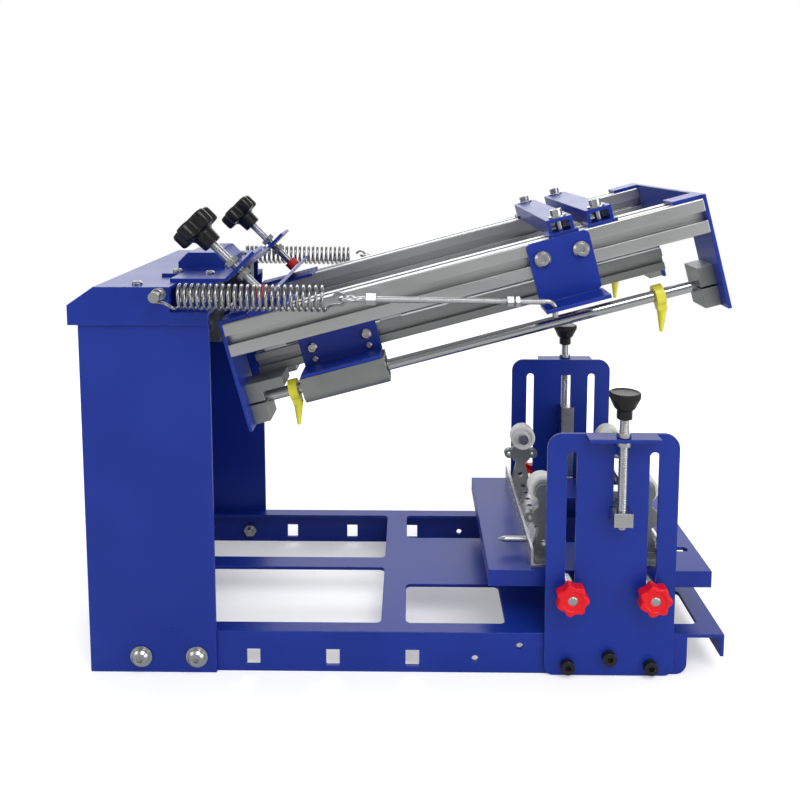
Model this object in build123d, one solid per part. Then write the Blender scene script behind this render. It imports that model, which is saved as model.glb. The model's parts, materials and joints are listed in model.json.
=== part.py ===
from build123d import *
import math
import os

# Curved (cylinder) screen printing press, hand operated, bench mounted.
# Millimetres. X runs along the base to the right, Y away from the operator's side, Z up.
# The row's origin is under the middle of the whole press, on the bench.

# Base tray
SHEET = 3.0
BASE_LEFT = -270.0
BASE_RIGHT = 285.0
BASE_HALF_WIDTH = 120.0
BASE_TOP = 37.0
FLANGE_RIGHT = 253.0
END_LIP_DROP = 20.0
SLOT_X = (-127.0, -57.0, 13.0)
SLOT_SIZE = (12.0, 15.0)
SLOT_Z = 13.0

# Column and its cap
COLUMN_RIGHT = -159.0
COLUMN_TOP = 340.5
COLUMN_LEFT_TOP = 327.0
COLUMN_SLOPE_RIGHT = -252.0
NOTCH_LEFT = -191.0
NOTCH_FLOOR = 319.0
CAP_LEFT = -277.5
CAP_TOP = 343.5
CAP_BOTTOM = 311.0
CAP_HALF_WIDTH = 126.0
CAP_SLOPE_RIGHT = -255.0
CAP_LEFT_TOP = 328.0
NOTCH_HALF_WIDTH = 100.0
FOOT_BOLT_X = (-225.0, -176.0)
FOOT_BOLT_Z = 15.0
CAP_SCREW_X = -222.0
CAP_SCREW_Y = 112.0

# Tilting head: u runs along the beams, v is Y and w is across them, from the hinge axis
PIVOT_X = -172.0
PIVOT_Z = 300.0
HEAD_RISE = 15.0
SHAFT_RADIUS = 6.0
BEAM_SIZE = 30.0
BEAM_START = 23.0
BEAM_END = 443.0
BEAM_W = -12.0
BEAM_Y = 97.5
PLATE_BOTTOM_W = -94.0
OPENING_HALF_WIDTH = 64.0
OPENING_TOP_W = -30.0
ROD_Y = 82.0
ROD_W = -75.0
ROD_RADIUS = 5.0
COLLAR_U = (61.5, 396.0)
SQUEEGEE_U = (324.0, 358.0)

# Screen carriage
HOUSING_START = 71.0
HOUSING_LENGTH = 77.0
RAIL_START = 30.0
RAIL_END = 413.0
RAIL_SIZE = 20.0
RAIL_Y = 52.0
RAIL_W = -49.0

# Balance springs and pull rods
PULL_Y = 138.0
ANCHOR_X = -198.0
ANCHOR_Z = 338.0
HOOK_U = 300.0
HOOK_W = -45.0
COIL_RADIUS = 9.9
COIL_WIRE_RADIUS = 1.3
COIL_TURNS = 24
COIL_START = 17.0
COIL_END = 139.0

# Head stop screws
STOP_Y = 90.0
STOP_LINE = 213.5
STOP_KNOB_X = -176.5
STOP_PLATE_X = -140.7
STOP_TOUCH_X = -116.2

# Jig plates, lift table and rollers
JIG_X = 184.0
JIG_WIDTH = 112.0
JIG_TOP = 218.0
JIG_SLOT_SPACING = 70.0
JACK_X = 190.0
JACK_Y = 130.5
TABLE_LEFT = 81.0
TABLE_RIGHT = 279.0
TABLE_HALF_WIDTH = 102.0
TABLE_TOP = 85.0
LOCK_Z = 77.0
ROLLER_X = (133.0, 226.0)
ROLLER_Y = 66.0
ROLLER_Z = 147.0
ROLLER_RADIUS = 13.0

MIDDLE_X = (BASE_RIGHT + CAP_LEFT) / 2
SIDES = (-1, 1)


def block(x0, x1, y0, y1, z0, z1):
    """A plain block between two corners."""
    middle = Pos((x0 + x1) / 2, (y0 + y1) / 2, (z0 + z1) / 2)
    return middle * Box(x1 - x0, y1 - y0, z1 - z0)


def rod_y(x, y0, y1, z, radius):
    """A round bar along Y."""
    return Pos(x, (y0 + y1) / 2, z) * Rot(90, 0, 0) * Cylinder(radius, y1 - y0)


def rod_x(x0, x1, y, z, radius):
    """A round bar along X."""
    return Pos((x0 + x1) / 2, y, z) * Rot(0, 90, 0) * Cylinder(radius, x1 - x0)


def rod_z(x, y, z0, z1, radius):
    """A round bar along Z."""
    return Pos(x, y, (z0 + z1) / 2) * Cylinder(radius, z1 - z0)


def upright(sketch, y0, thickness):
    """A sketch of X and Z as a plate that is thick along +Y from y0."""
    return Pos(0, y0, 0) * extrude(Plane.XZ * sketch, amount=-thickness)


def on_head(shape):
    """Puts a shape made in u, v, w on the raised head."""
    return Pos(PIVOT_X, 0, PIVOT_Z) * Rot(0, -HEAD_RISE, 0) * shape


def button_head(radius, height):
    """A low domed screw head with a hexagon socket, standing up from Z = 0."""
    dome = Cylinder(radius, height, align=(Align.CENTER, Align.CENTER, Align.MIN))
    dome = chamfer(dome.edges().sort_by(Axis.Z)[-1], height * 0.45)
    socket = extrude(RegularPolygon(radius * 0.45, 6), amount=height)
    return dome - Pos(0, 0, height * 0.4) * socket


def base_frame():
    """Folded tray: a top sheet with windows, two side flanges and a lip at the right."""
    tray = block(BASE_LEFT + SHEET, BASE_RIGHT, -BASE_HALF_WIDTH, BASE_HALF_WIDTH, BASE_TOP - SHEET, BASE_TOP)
    windows = (
        (-262.0, -15.0, -106.0, -10.0),
        (-262.0, -15.0, 10.0, 106.0),
        (7.0, 96.0, -106.0, -41.0),
        (7.0, 96.0, 53.0, 106.0),
        (150.0, 267.0, -104.0, -50.0),
        (150.0, 267.0, 50.0, 104.0),
    )
    for x0, x1, y0, y1 in windows:
        window = RectangleRounded(x1 - x0, y1 - y0, 5)
        tray -= Pos((x0 + x1) / 2, (y0 + y1) / 2, 0) * extrude(window, amount=BASE_TOP + 1)
    flange_left = BASE_LEFT + SHEET
    flange = Rectangle(FLANGE_RIGHT - flange_left, BASE_TOP)
    outline = Pos((flange_left + FLANGE_RIGHT) / 2, BASE_TOP / 2) * flange
    lower_right = outline.vertices().group_by(Axis.Y)[0].sort_by(Axis.X)[-1]
    outline = fillet(lower_right, 10)
    for x in SLOT_X:
        outline -= Pos(x, SLOT_Z) * Rectangle(*SLOT_SIZE)
    outline -= Pos(68, SLOT_Z) * Circle(3)
    outline -= Pos(107, 25) * Circle(3)
    for y0 in (-BASE_HALF_WIDTH, BASE_HALF_WIDTH - SHEET):
        tray += upright(outline, y0, SHEET)
    half = BASE_HALF_WIDTH
    tray += block(BASE_RIGHT - SHEET, BASE_RIGHT, -half, half, BASE_TOP - END_LIP_DROP, BASE_TOP)
    tray += block(flange_left, flange_left + SHEET, -half, half, 0, BASE_TOP)
    for x in FOOT_BOLT_X:
        tray -= rod_y(x, -BASE_HALF_WIDTH - 1, BASE_HALF_WIDTH + 1, FOOT_BOLT_Z, 4)
    for x, z in jig_bolt_places():
        tray -= rod_y(x, -BASE_HALF_WIDTH - 1, BASE_HALF_WIDTH + 1, z, 3)
    return tray


def jig_bolt_places():
    """X and Z of the three bolts that hold each jig plate to the base."""
    return ((JIG_X - 36, 10.0), (JIG_X, 18.0), (JIG_X + 36, 10.0))


def column_shell():
    """Folded U, open to the right: front plate, left plate and rear plate."""
    outline = make_face(
        Polyline(
            (BASE_LEFT, 0),
            (COLUMN_RIGHT, 0),
            (COLUMN_RIGHT, NOTCH_FLOOR),
            (NOTCH_LEFT, NOTCH_FLOOR),
            (NOTCH_LEFT, COLUMN_TOP),
            (COLUMN_SLOPE_RIGHT, COLUMN_TOP),
            (BASE_LEFT, COLUMN_LEFT_TOP),
            close=True,
        )
    )
    shell = upright(outline, -BASE_HALF_WIDTH - SHEET, SHEET)
    shell += upright(outline, BASE_HALF_WIDTH, SHEET)
    shell += block(BASE_LEFT, BASE_LEFT + SHEET, -BASE_HALF_WIDTH, BASE_HALF_WIDTH, 0, COLUMN_LEFT_TOP)
    for side in SIDES:
        y0, y1 = sorted((side * 104, side * BASE_HALF_WIDTH))
        shell += block(-238, -195, y0, y1, COLUMN_TOP - SHEET, COLUMN_TOP)
        shell -= rod_z(CAP_SCREW_X, side * CAP_SCREW_Y, COLUMN_TOP - 5, COLUMN_TOP + 1, 2.5)
    for x in FOOT_BOLT_X:
        shell -= rod_y(x, -BASE_HALF_WIDTH - 4, BASE_HALF_WIDTH + 4, FOOT_BOLT_Z, 4)
    return shell


def column_cap():
    """Folded hood over the column: sloped on the left, notched at both right corners for the springs."""
    outer = make_face(
        Polyline(
            (CAP_LEFT, CAP_BOTTOM),
            (CAP_LEFT, CAP_LEFT_TOP),
            (CAP_SLOPE_RIGHT, CAP_TOP),
            (COLUMN_RIGHT, CAP_TOP),
            (COLUMN_RIGHT, CAP_BOTTOM),
            close=True,
        )
    )
    wall = CAP_TOP - COLUMN_TOP
    inner = make_face(
        Polyline(
            (CAP_LEFT + wall, CAP_BOTTOM - 5),
            (CAP_LEFT + wall, CAP_LEFT_TOP - wall * 0.7),
            (CAP_SLOPE_RIGHT + wall * 0.2, COLUMN_TOP),
            (COLUMN_RIGHT + 5, COLUMN_TOP),
            (COLUMN_RIGHT + 5, CAP_BOTTOM - 5),
            close=True,
        )
    )
    inner_half = BASE_HALF_WIDTH + SHEET
    cap = upright(outer, -CAP_HALF_WIDTH, 2 * CAP_HALF_WIDTH) - upright(inner, -inner_half, 2 * inner_half)
    ledge_top = NOTCH_FLOOR + SHEET
    for side in SIDES:
        cap -= rod_z(CAP_SCREW_X, side * CAP_SCREW_Y, COLUMN_TOP - 1, CAP_TOP + 1, 2.5)
        cap -= rod_y(ANCHOR_X, *sorted((side * 120, side * 130)), ANCHOR_Z, 2.5)
        y0, y1 = sorted((side * NOTCH_HALF_WIDTH, side * (CAP_HALF_WIDTH + 1)))
        cap -= block(NOTCH_LEFT, COLUMN_RIGHT + 1, y0, y1, ledge_top, CAP_TOP + 1)
        y0, y1 = sorted((side * NOTCH_HALF_WIDTH, side * CAP_HALF_WIDTH))
        cap += block(NOTCH_LEFT, COLUMN_RIGHT, y0, y1, NOTCH_FLOOR, ledge_top)
        y0, y1 = sorted((side * (NOTCH_HALF_WIDTH - SHEET), side * NOTCH_HALF_WIDTH))
        cap += block(NOTCH_LEFT, COLUMN_RIGHT, y0, y1, NOTCH_FLOOR, COLUMN_TOP + 1)
    return cap


def foot_bolts():
    """Four coach bolts with washers that hold the column to the base flanges."""
    bolts = []
    for side in SIDES:
        face = side * (BASE_HALF_WIDTH + SHEET)
        for x in FOOT_BOLT_X:
            stem = rod_y(x, *sorted((face, side * (BASE_HALF_WIDTH - 14))), FOOT_BOLT_Z, 4)
            washer = rod_y(x, *sorted((face, face + side * 1.5)), FOOT_BOLT_Z, 9.5)
            head = Pos(x, face + side * 1.5, FOOT_BOLT_Z) * Rot(-90 * side, 0, 0) * button_head(7.5, 4.5)
            nut = extrude(RegularPolygon(7.5, 6), amount=6)
            nut = Pos(x, side * (BASE_HALF_WIDTH - SHEET), FOOT_BOLT_Z) * Rot(90 * side, 0, 0) * nut
            bolts.append(stem + washer + head + nut)
    return Compound(bolts)


def hinge_blocks():
    """Two bearing blocks under the cap that hold the hinge shaft."""
    blocks = []
    for side in SIDES:
        y0, y1 = sorted((side * 62, side * 80))
        body = block(-190, -160, y0, y1, 286, COLUMN_TOP)
        blocks.append(body - rod_y(PIVOT_X, y0 - 1, y1 + 1, PIVOT_Z, SHAFT_RADIUS))
    return Compound(blocks)


def hinge_shaft():
    """The plain steel shaft that the head swings on."""
    return rod_y(PIVOT_X, -84, 84, PIVOT_Z, SHAFT_RADIUS)


def cap_screws():
    """Button screws in the cap and the stop bracket, and the lock nuts on the stop studs."""
    places = [(CAP_SCREW_X, side * CAP_SCREW_Y, CAP_TOP) for side in SIDES]
    places += [(-170, side * 71, CAP_TOP + SHEET) for side in SIDES]
    places += [(-202, side * 60, CAP_TOP + SHEET) for side in SIDES]
    screws = []
    for x, y, z in places:
        stem_low = COLUMN_TOP - SHEET if z == CAP_TOP else CAP_TOP
        screws.append(Pos(x, y, z) * button_head(4.5, 2.8) + rod_z(x, y, stem_low + 0.5, z, 2.5))
    return Compound(screws + stop_nuts())


def stop_bracket():
    """Folded sheet on the cap: a foot, then a plate rising at 45 degrees that the stop screws pass."""
    half = NOTCH_HALF_WIDTH - 1
    foot_top = CAP_TOP + SHEET
    rise = 25.0
    fold = -150.0
    skew = SHEET * math.tan(math.radians(22.5))
    edge = SHEET * math.sin(math.radians(45))
    profile = make_face(
        Polyline(
            (-214, CAP_TOP),
            (fold + skew, CAP_TOP),
            (fold + skew + rise, CAP_TOP + rise),
            (fold + skew + rise - edge, CAP_TOP + rise + edge),
            (fold, foot_top),
            (-214, foot_top),
            close=True,
        )
    )
    bracket = upright(profile, -half, 2 * half)
    bracket -= block(-240, -198, -half - 1, -70, CAP_TOP - 1, foot_top + 1)
    bracket -= block(-240, -198, 70, half + 1, CAP_TOP - 1, foot_top + 1)
    bracket -= block(-141, -110, -55, 55, CAP_TOP + 12, CAP_TOP + 40)
    hump = block(-208, -164, -38, 38, foot_top, foot_top + 15)
    hump = chamfer(hump.edges().filter_by(Axis.Y).group_by(Axis.Z)[-1], 9)
    bracket += hump
    for x, y in ((-170, 71), (-202, 60)):
        for side in SIDES:
            bracket -= rod_z(x, side * y, CAP_TOP - 1, foot_top + 1, 2.5)
    for side in SIDES:
        bracket -= along_stop(side, STOP_PLATE_X - 12, STOP_PLATE_X + 12, 4.1)
    return bracket


def along_stop(side, x0, x1, radius):
    """A round bar on a stop screw's slanted line, between two X values."""
    middle = (x0 + x1) / 2
    length = (x1 - x0) / math.cos(math.radians(45))
    place = Pos(middle, side * STOP_Y, STOP_LINE - middle)
    return place * Rot(0, 135, 0) * Cylinder(radius, length)


def stop_knob(side):
    """Five-lobed hand knob with a hub, on the upper end of a stop screw."""
    head = lobed_head(21.0, 5, 5.5, 15.0)
    hub = Pos(0, 0, 15) * Cylinder(9, 14, align=(Align.CENTER, Align.CENTER, Align.MIN))
    knob = head + hub - Pos(0, 0, 6) * Cylinder(4, 40, align=(Align.CENTER, Align.CENTER, Align.MIN))
    top = Pos(STOP_KNOB_X - 6, side * STOP_Y, STOP_LINE - STOP_KNOB_X + 6)
    return top * Rot(0, 135, 0) * knob


def lobed_head(reach, lobes, lobe_radius, height):
    """A knob's grip: a disc with round lobes, domed on the side that faces down."""
    centre = reach - lobe_radius
    outline = Circle(centre * 0.94)
    for index in range(lobes):
        angle = 2 * math.pi * index / lobes
        outline += Pos(centre * math.cos(angle), centre * math.sin(angle)) * Circle(lobe_radius)
    grip = extrude(outline, amount=height)
    dome = Cone(reach - 2.5, reach + 0.2, 2.7, align=(Align.CENTER, Align.CENTER, Align.MIN))
    dome += Pos(0, 0, 2.7) * Cylinder(reach + 0.2, height, align=(Align.CENTER, Align.CENTER, Align.MIN))
    return grip & dome


def stop_stud(side):
    """The long threaded stud of a stop screw."""
    return along_stop(side, STOP_KNOB_X, STOP_TOUCH_X - 6.2, 4.0)


def stop_bumper(side):
    """Red rubber cap on the stud's lower end, which the head's strike bar rests on."""
    return along_stop(side, STOP_TOUCH_X - 6.2, STOP_TOUCH_X - 0.3, 6.5)


def stop_nuts():
    """A lock nut on each side of the stop bracket, on each stud."""
    nuts = []
    for side in SIDES:
        for x in (STOP_PLATE_X - 5.3, STOP_PLATE_X + 5.3):
            nut = Rot(0, 135, 0) * (Pos(0, 0, -2.5) * extrude(RegularPolygon(7, 6) - Circle(4.1), amount=5))
            nuts.append(Pos(x, side * STOP_Y, STOP_LINE - x) * nut)
    return nuts


def beam(side):
    """Slotted square aluminium profile of the head, along u."""
    half = BEAM_SIZE / 2
    section = RectangleRounded(BEAM_SIZE, BEAM_SIZE, 1.5)
    for turn in range(4):
        mouth = Pos(half - 1.1, 0) * Rectangle(2.3, 8.2)
        cavity = make_face(
            Polyline(
                (half - 2.2, 8),
                (half - 2.2, -8),
                (half - 5.0, -8),
                (half - 9.0, -4),
                (half - 9.0, 4),
                (half - 5.0, 8),
                close=True,
            )
        )
        section -= Rot(0, 0, 90 * turn) * (mouth + cavity)
    section -= Circle(3.4)
    bar = extrude(Plane.YZ * section, amount=BEAM_END - BEAM_START)
    return on_head(Pos(BEAM_START, side * BEAM_Y, BEAM_W) * bar)


def end_plate(u0, tab_u0, tab_u1):
    """Bridge-shaped plate that ties the beams and the guide rods, with a tab over each beam."""
    half = BEAM_Y + BEAM_SIZE / 2
    top = BEAM_W + BEAM_SIZE / 2
    plate = block(u0, u0 + SHEET, -half, half, PLATE_BOTTOM_W, top + SHEET)
    gap = OPENING_HALF_WIDTH
    plate -= block(u0 - 1, u0 + SHEET + 1, -gap, gap, PLATE_BOTTOM_W - 1, OPENING_TOP_W)
    for side in SIDES:
        plate += block(tab_u0, tab_u1, *sorted((side * (half - 2), side * (half - 28))), top, top + SHEET)
        plate -= rod_x(u0 - 1, u0 + SHEET + 1, side * BEAM_Y, BEAM_W, 3.4)
    return on_head(plate)


def rod_supports():
    """Four clamp blocks that hold the ends of the two guide rods; the left ones carry a longer nose."""
    blocks = []
    for side in SIDES:
        y0, y1 = sorted((side * (ROD_Y - 16), side * (ROD_Y + 16)))
        left = block(BEAM_START, BEAM_START + 14, y0, y1, -93, -57)
        left += block(BEAM_START + 14, BEAM_START + 34, y0, y1, -66, -57)
        right = block(BEAM_END - 14, BEAM_END, y0, y1, -93, -57)
        y0, y1 = sorted((side * ROD_Y, side * (ROD_Y + 17)))
        for body in (left, right):
            body -= rod_x(BEAM_START - 5, BEAM_END + 5, side * ROD_Y, ROD_W, ROD_RADIUS)
            gap = block(BEAM_START - 5, BEAM_END + 5, y0, y1, ROD_W - 1, ROD_W + 1)
            blocks.append(on_head(body - gap))
    return Compound(blocks)


def guide_rods():
    """Two chromed round rods that the carriage slides on."""
    return Compound([on_head(rod_x(BEAM_START, BEAM_END, side * ROD_Y, ROD_W, ROD_RADIUS)) for side in SIDES])


def stop_collars():
    """Yellow collars that end the carriage's travel, two on each rod, each with a tapered thumb screw."""
    collars = []
    for side in SIDES:
        for u in COLLAR_U:
            ring = rod_x(u - 4, u + 4, side * ROD_Y, ROD_W, 9.5)
            ring += block(u - 4, u + 4, side * ROD_Y - 5, side * ROD_Y + 5, ROD_W - 13, ROD_W - 6)
            grip = Pos(0, 0, -20) * Cone(1.6, 4.6, 22, align=(Align.CENTER, Align.CENTER, Align.MIN))
            ring += Pos(u, side * ROD_Y, ROD_W - 13) * Rot(0, 14, 0) * grip
            ring -= rod_x(u - 5, u + 5, side * ROD_Y, ROD_W, ROD_RADIUS)
            collars.append(on_head(ring))
    return Compound(collars)


def hinge_cheeks():
    """Two cheek plates behind the left end plate that carry the hinge bushes."""
    cheeks = []
    for side in SIDES:
        y0, y1 = sorted((side * 45, side * 51))
        cheek = rod_y(0, y0, y1, 0, 13) + block(0, BEAM_START - SHEET, y0, y1, -13, 5)
        cheeks.append(on_head(cheek - rod_y(0, y0 - 1, y1 + 1, 0, 8)))
    return Compound(cheeks)


def hinge_bushes():
    """Bronze bushes pressed into the cheeks, running on the shaft."""
    bushes = []
    for side in SIDES:
        y0, y1 = sorted((side * 43, side * 53))
        bush = rod_y(0, y0, y1, 0, 8) - rod_y(0, y0 - 1, y1 + 1, 0, SHAFT_RADIUS + 0.05)
        bushes.append(on_head(bush))
    return Compound(bushes)


def strike_bar():
    """Folded bar on the beams: its slanted flange meets the two stop bumpers."""
    half = BEAM_Y + BEAM_SIZE / 2 - 0.5
    foot = BEAM_W + BEAM_SIZE / 2
    slope = math.radians(30)
    start_u, start_w = 48.0, foot
    length = 31.0
    along = (math.cos(slope), math.sin(slope))
    across = (-math.sin(slope) * SHEET, math.cos(slope) * SHEET)
    tip = (start_u + along[0] * length, start_w + along[1] * length)
    flange = make_face(
        Polyline(
            (start_u, start_w),
            tip,
            (tip[0] + across[0], tip[1] + across[1]),
            (start_u + across[0], start_w + across[1]),
            close=True,
        )
    )
    bar = upright(flange, -half, 2 * half)
    bar += block(start_u - 1.5, start_u + 34, -half, half, foot, foot + SHEET)
    bar -= block(start_u + 8, start_u + 50, -60, 60, foot - 1, foot + SHEET + 0.5)
    return on_head(bar)


def spring_brackets():
    """Angle plates on the beams' outer faces; the pull rods hook in their outward lips."""
    return Compound([spring_bracket(side) for side in SIDES])


def spring_bracket(side):
    """One angle plate, front or rear."""
    face = BEAM_Y + BEAM_SIZE / 2
    web_outline = Pos(317, -23) * RectangleRounded(54, 52, 5)
    web = upright(web_outline, *((-face - SHEET, SHEET) if side < 0 else (face, SHEET)))
    y0, y1 = sorted((side * face, side * (PULL_Y + 6)))
    lip = block(290, 344, y0, y1, -52, -49)
    lip -= rod_z(HOOK_U - 1.6, side * PULL_Y, -53, -48, 3.7)
    return on_head(web + lip)


def head_screws():
    """Screws of the head: at the beam ends, in the spring brackets and in the squeegee bars."""
    screws = []
    face = BEAM_Y + BEAM_SIZE / 2
    for side in SIDES:
        for u in (301, 334):
            place = Pos(u, side * (face + SHEET), BEAM_W) * Rot(-90 * side, 0, 0)
            screws.append(on_head(place * button_head(7, 4.2)))
        left = Pos(BEAM_START - SHEET, side * BEAM_Y, BEAM_W) * Rot(0, -90, 0)
        right = Pos(BEAM_END + SHEET, side * BEAM_Y, BEAM_W) * Rot(0, 90, 0)
        screws.append(on_head(left * button_head(6, 3.6)))
        screws.append(on_head(right * button_head(6, 3.6)))
        for w in (-66, -86):
            left = Pos(BEAM_START - SHEET, side * (ROD_Y + 11), w) * Rot(0, -90, 0)
            right = Pos(BEAM_END + SHEET, side * (ROD_Y + 11), w) * Rot(0, 90, 0)
            screws.append(on_head(left * button_head(4, 2.6)))
            screws.append(on_head(right * button_head(4, 2.6)))
    return Compound(screws + squeegee_bar_screws())


def squeegee_bars():
    """Two channel bars across the beams that a squeegee is clamped between."""
    bars = []
    top = BEAM_W + BEAM_SIZE / 2
    half_length = 106.0
    for u in SQUEEGEE_U:
        bar = block(u - 11, u + 11, -half_length, half_length, top, top + 14)
        bar -= block(u - 8, u + 8, -half_length - 1, half_length + 1, top - 1, top + 11)
        for side in SIDES:
            y0, y1 = sorted((side * 84, side * 111))
            bar += block(u - 13, u + 13, y0, y1, top, top + 2.5)
            bar -= rod_z(u, side * 98, top + 5, top + 20, 3.2)
        bars.append(on_head(bar))
    return Compound(bars)


def squeegee_bar_screws():
    """A cap screw and washer at each end of the squeegee bars."""
    screws = []
    top = BEAM_W + BEAM_SIZE / 2 + 14
    for u in SQUEEGEE_U:
        for side in SIDES:
            screw = rod_z(u, side * 98, top, top + 1.5, 7.5) + rod_z(u, side * 98, top + 1.5, top + 7, 5)
            screw -= Pos(u, side * 98, top + 4) * extrude(RegularPolygon(2.9, 6), amount=6)
            screw += rod_z(u, side * 98, top - 11, top, 3)
            screws.append(on_head(screw))
    return screws


def carriage_rails():
    """Two slotted rails that the screen frame is clamped to."""
    return Compound([rail(side) for side in SIDES])


def rail(side):
    """One slotted rail, front or rear."""
    half = RAIL_SIZE / 2
    section = RectangleRounded(RAIL_SIZE, RAIL_SIZE, 1)
    for turn in range(4):
        section -= Rot(0, 0, 90 * turn) * (Pos(half - 2.5, 0) * Rectangle(5.2, 5.4))
    section -= Circle(2.2)
    bar = extrude(Plane.YZ * section, amount=RAIL_END - RAIL_START)
    return on_head(Pos(RAIL_START, side * RAIL_Y, RAIL_W) * bar)


def bearing_housings():
    """Two long linear bearing housings, rounded below, on the guide rods."""
    housings = []
    for side in SIDES:
        section = Rectangle(33, 24)
        lower = section.vertices().group_by(Axis.Y)[0]
        section = fillet(lower, 10) - Pos(0, 1) * Circle(9.5)
        body = extrude(Plane.YZ * section, amount=HOUSING_LENGTH)
        housings.append(on_head(Pos(HOUSING_START, side * ROD_Y, ROD_W - 1) * body))
    return Compound(housings)


def ball_bushings():
    """Linear ball bushings in the housings, running on the rods."""
    bushings = []
    for side in SIDES:
        for u in (HOUSING_START + 1, HOUSING_START + HOUSING_LENGTH - 30):
            sleeve = rod_x(u, u + 29, side * ROD_Y, ROD_W, 9.5)
            sleeve -= rod_x(u - 1, u + 30, side * ROD_Y, ROD_W, ROD_RADIUS + 0.08)
            bushings.append(on_head(sleeve))
    return Compound(bushings)


def tie_brackets():
    """Folded plates that tie each rail to its bearing housing."""
    brackets = []
    face = RAIL_Y + RAIL_SIZE / 2
    for side in SIDES:
        web = Pos(109.5, -48) * RectangleRounded(73, 32, 3)
        plate = upright(web, *((-face - SHEET, SHEET) if side < 0 else (face, SHEET)))
        y0, y1 = sorted((side * face, side * (ROD_Y + 16)))
        plate += block(73, 146, y0, y1, -64, -61)
        brackets.append(on_head(plate))
    return Compound(brackets)


def tie_bracket_screws():
    """Socket screws of the tie brackets: two large ones in the rail, two small ones lower down."""
    screws = []
    face = RAIL_Y + RAIL_SIZE / 2 + SHEET
    for side in SIDES:
        for u, w, radius in ((84, -46, 5), (135, -46, 5), (84, -57, 3), (135, -57, 3)):
            place = Pos(u, side * face, w) * Rot(-90 * side, 0, 0)
            screws.append(on_head(place * button_head(radius, radius * 0.7)))
    return Compound(screws)


def carriage_cross_bars():
    """Two flat bars that hold the rails at their spacing."""
    half = RAIL_Y + RAIL_SIZE / 2 - 0.5
    top = RAIL_W + RAIL_SIZE / 2
    return Compound([on_head(block(u, u + 20, -half, half, top, top + 4)) for u in (40, 150)])


def hook_point(rise):
    """X and Z of the hole in a spring bracket's lip, with the head raised by some degrees."""
    angle = math.radians(rise)
    x = PIVOT_X + HOOK_U * math.cos(angle) - HOOK_W * math.sin(angle)
    z = PIVOT_Z + HOOK_U * math.sin(angle) + HOOK_W * math.cos(angle)
    return x, z


def pull_line(shape, side):
    """Puts a shape made along X from the spring's anchor on the spring's slightly falling line."""
    hook_x, hook_z = hook_point(HEAD_RISE)
    fall = math.degrees(math.atan2(ANCHOR_Z - hook_z, hook_x - ANCHOR_X))
    return Pos(ANCHOR_X, side * PULL_Y, ANCHOR_Z) * Rot(0, fall, 0) * shape


def pull_length():
    """Distance from the spring's anchor to the hole in the spring bracket's lip."""
    hook_x, hook_z = hook_point(HEAD_RISE)
    return math.hypot(hook_x - ANCHOR_X, hook_z - ANCHOR_Z)


def biarc(start, start_way, end, end_way):
    """Two arcs that join two points smoothly, each leaving along its given direction."""
    chord = end - start
    ways = start_way + end_way
    spread = 2 * (1 - start_way.dot(end_way))
    reach = chord.dot(ways)
    if abs(spread) < 1e-9:
        length = chord.dot(chord) / (2 * reach)
    else:
        length = (-reach + math.sqrt(reach * reach + spread * chord.dot(chord))) / spread
    middle = (start + start_way * length + end - end_way * length) * 0.5
    middle_way = (end - end_way * length - start - start_way * length).normalized()
    return [
        Edge.make_tangent_arc(start, start_way, middle),
        Edge.make_tangent_arc(middle, middle_way, end),
    ]


def spring_nodes():
    """Points and directions of the spring's wire, half a turn apart, from its left hook to its right one."""
    loop = 5.0
    nodes = []
    left = 0.9
    for degrees in (20, 90, 180, 270):
        angle = math.radians(degrees)
        point = Vector(left + loop * math.cos(angle), 0, loop * math.sin(angle))
        nodes.append((point, Vector(-math.sin(angle), 0, math.cos(angle))))
    pitch = (COIL_END - COIL_START) / COIL_TURNS
    for half_turn in range(2 * COIL_TURNS + 1):
        angle = math.pi * half_turn - math.pi / 2
        along = COIL_START + pitch * half_turn / 2
        point = Vector(along, COIL_RADIUS * math.cos(angle), COIL_RADIUS * math.sin(angle))
        way = Vector(pitch / (2 * math.pi), -COIL_RADIUS * math.sin(angle), COIL_RADIUS * math.cos(angle))
        nodes.append((point, way.normalized()))
    right = COIL_END + 12
    for degrees in (270, 360, 450, 520):
        angle = math.radians(degrees)
        point = Vector(right + loop * math.cos(angle), 0, loop * math.sin(angle))
        nodes.append((point, Vector(-math.sin(angle), 0, math.cos(angle))))
    return nodes


def spring(side):
    """Tension spring: one unbroken wire with a hook loop at each end."""
    nodes = spring_nodes()
    edges = []
    for (start, start_way), (end, end_way) in zip(nodes, nodes[1:]):
        edges += biarc(start, start_way, end, end_way)
    first, first_way = nodes[0]
    wire = sweep(Plane(origin=first, z_dir=first_way) * Circle(COIL_WIRE_RADIUS), path=Wire(edges))
    return pull_line(wire, side)


def pull_rod(side):
    """Eye, threaded rod and end hook that join the spring to the head."""
    eye_centre = COIL_END + 19
    length = pull_length()
    eye = Pos(eye_centre, 0, 0) * Torus(6.2, 1.8)
    shank = rod_x(eye_centre + 6, length - 7, 0, 0, 2.8)
    nuts = Pos(eye_centre + 14, 0, 0) * Rot(0, 90, 0) * extrude(RegularPolygon(5.2, 6), amount=9)
    nuts += Pos(length - 40, 0, 0) * Rot(0, 90, 0) * extrude(RegularPolygon(4.8, 6), amount=6)
    bend_radius = 7.0
    half_way = bend_radius * math.sin(math.radians(45))
    bend_start = length - bend_radius
    bend = Edge.make_three_point_arc(
        (bend_start, 0, 0),
        (bend_start + half_way, 0, half_way - bend_radius),
        (length, 0, -bend_radius),
    )
    hook = sweep(Plane(origin=(bend_start, 0, 0), z_dir=(1, 0, 0)) * Circle(2.4), path=Wire([bend]))
    hook += rod_z(length, 0, -13, -bend_radius, 2.4)
    return pull_line(eye + shank + nuts + hook, side)


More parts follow.
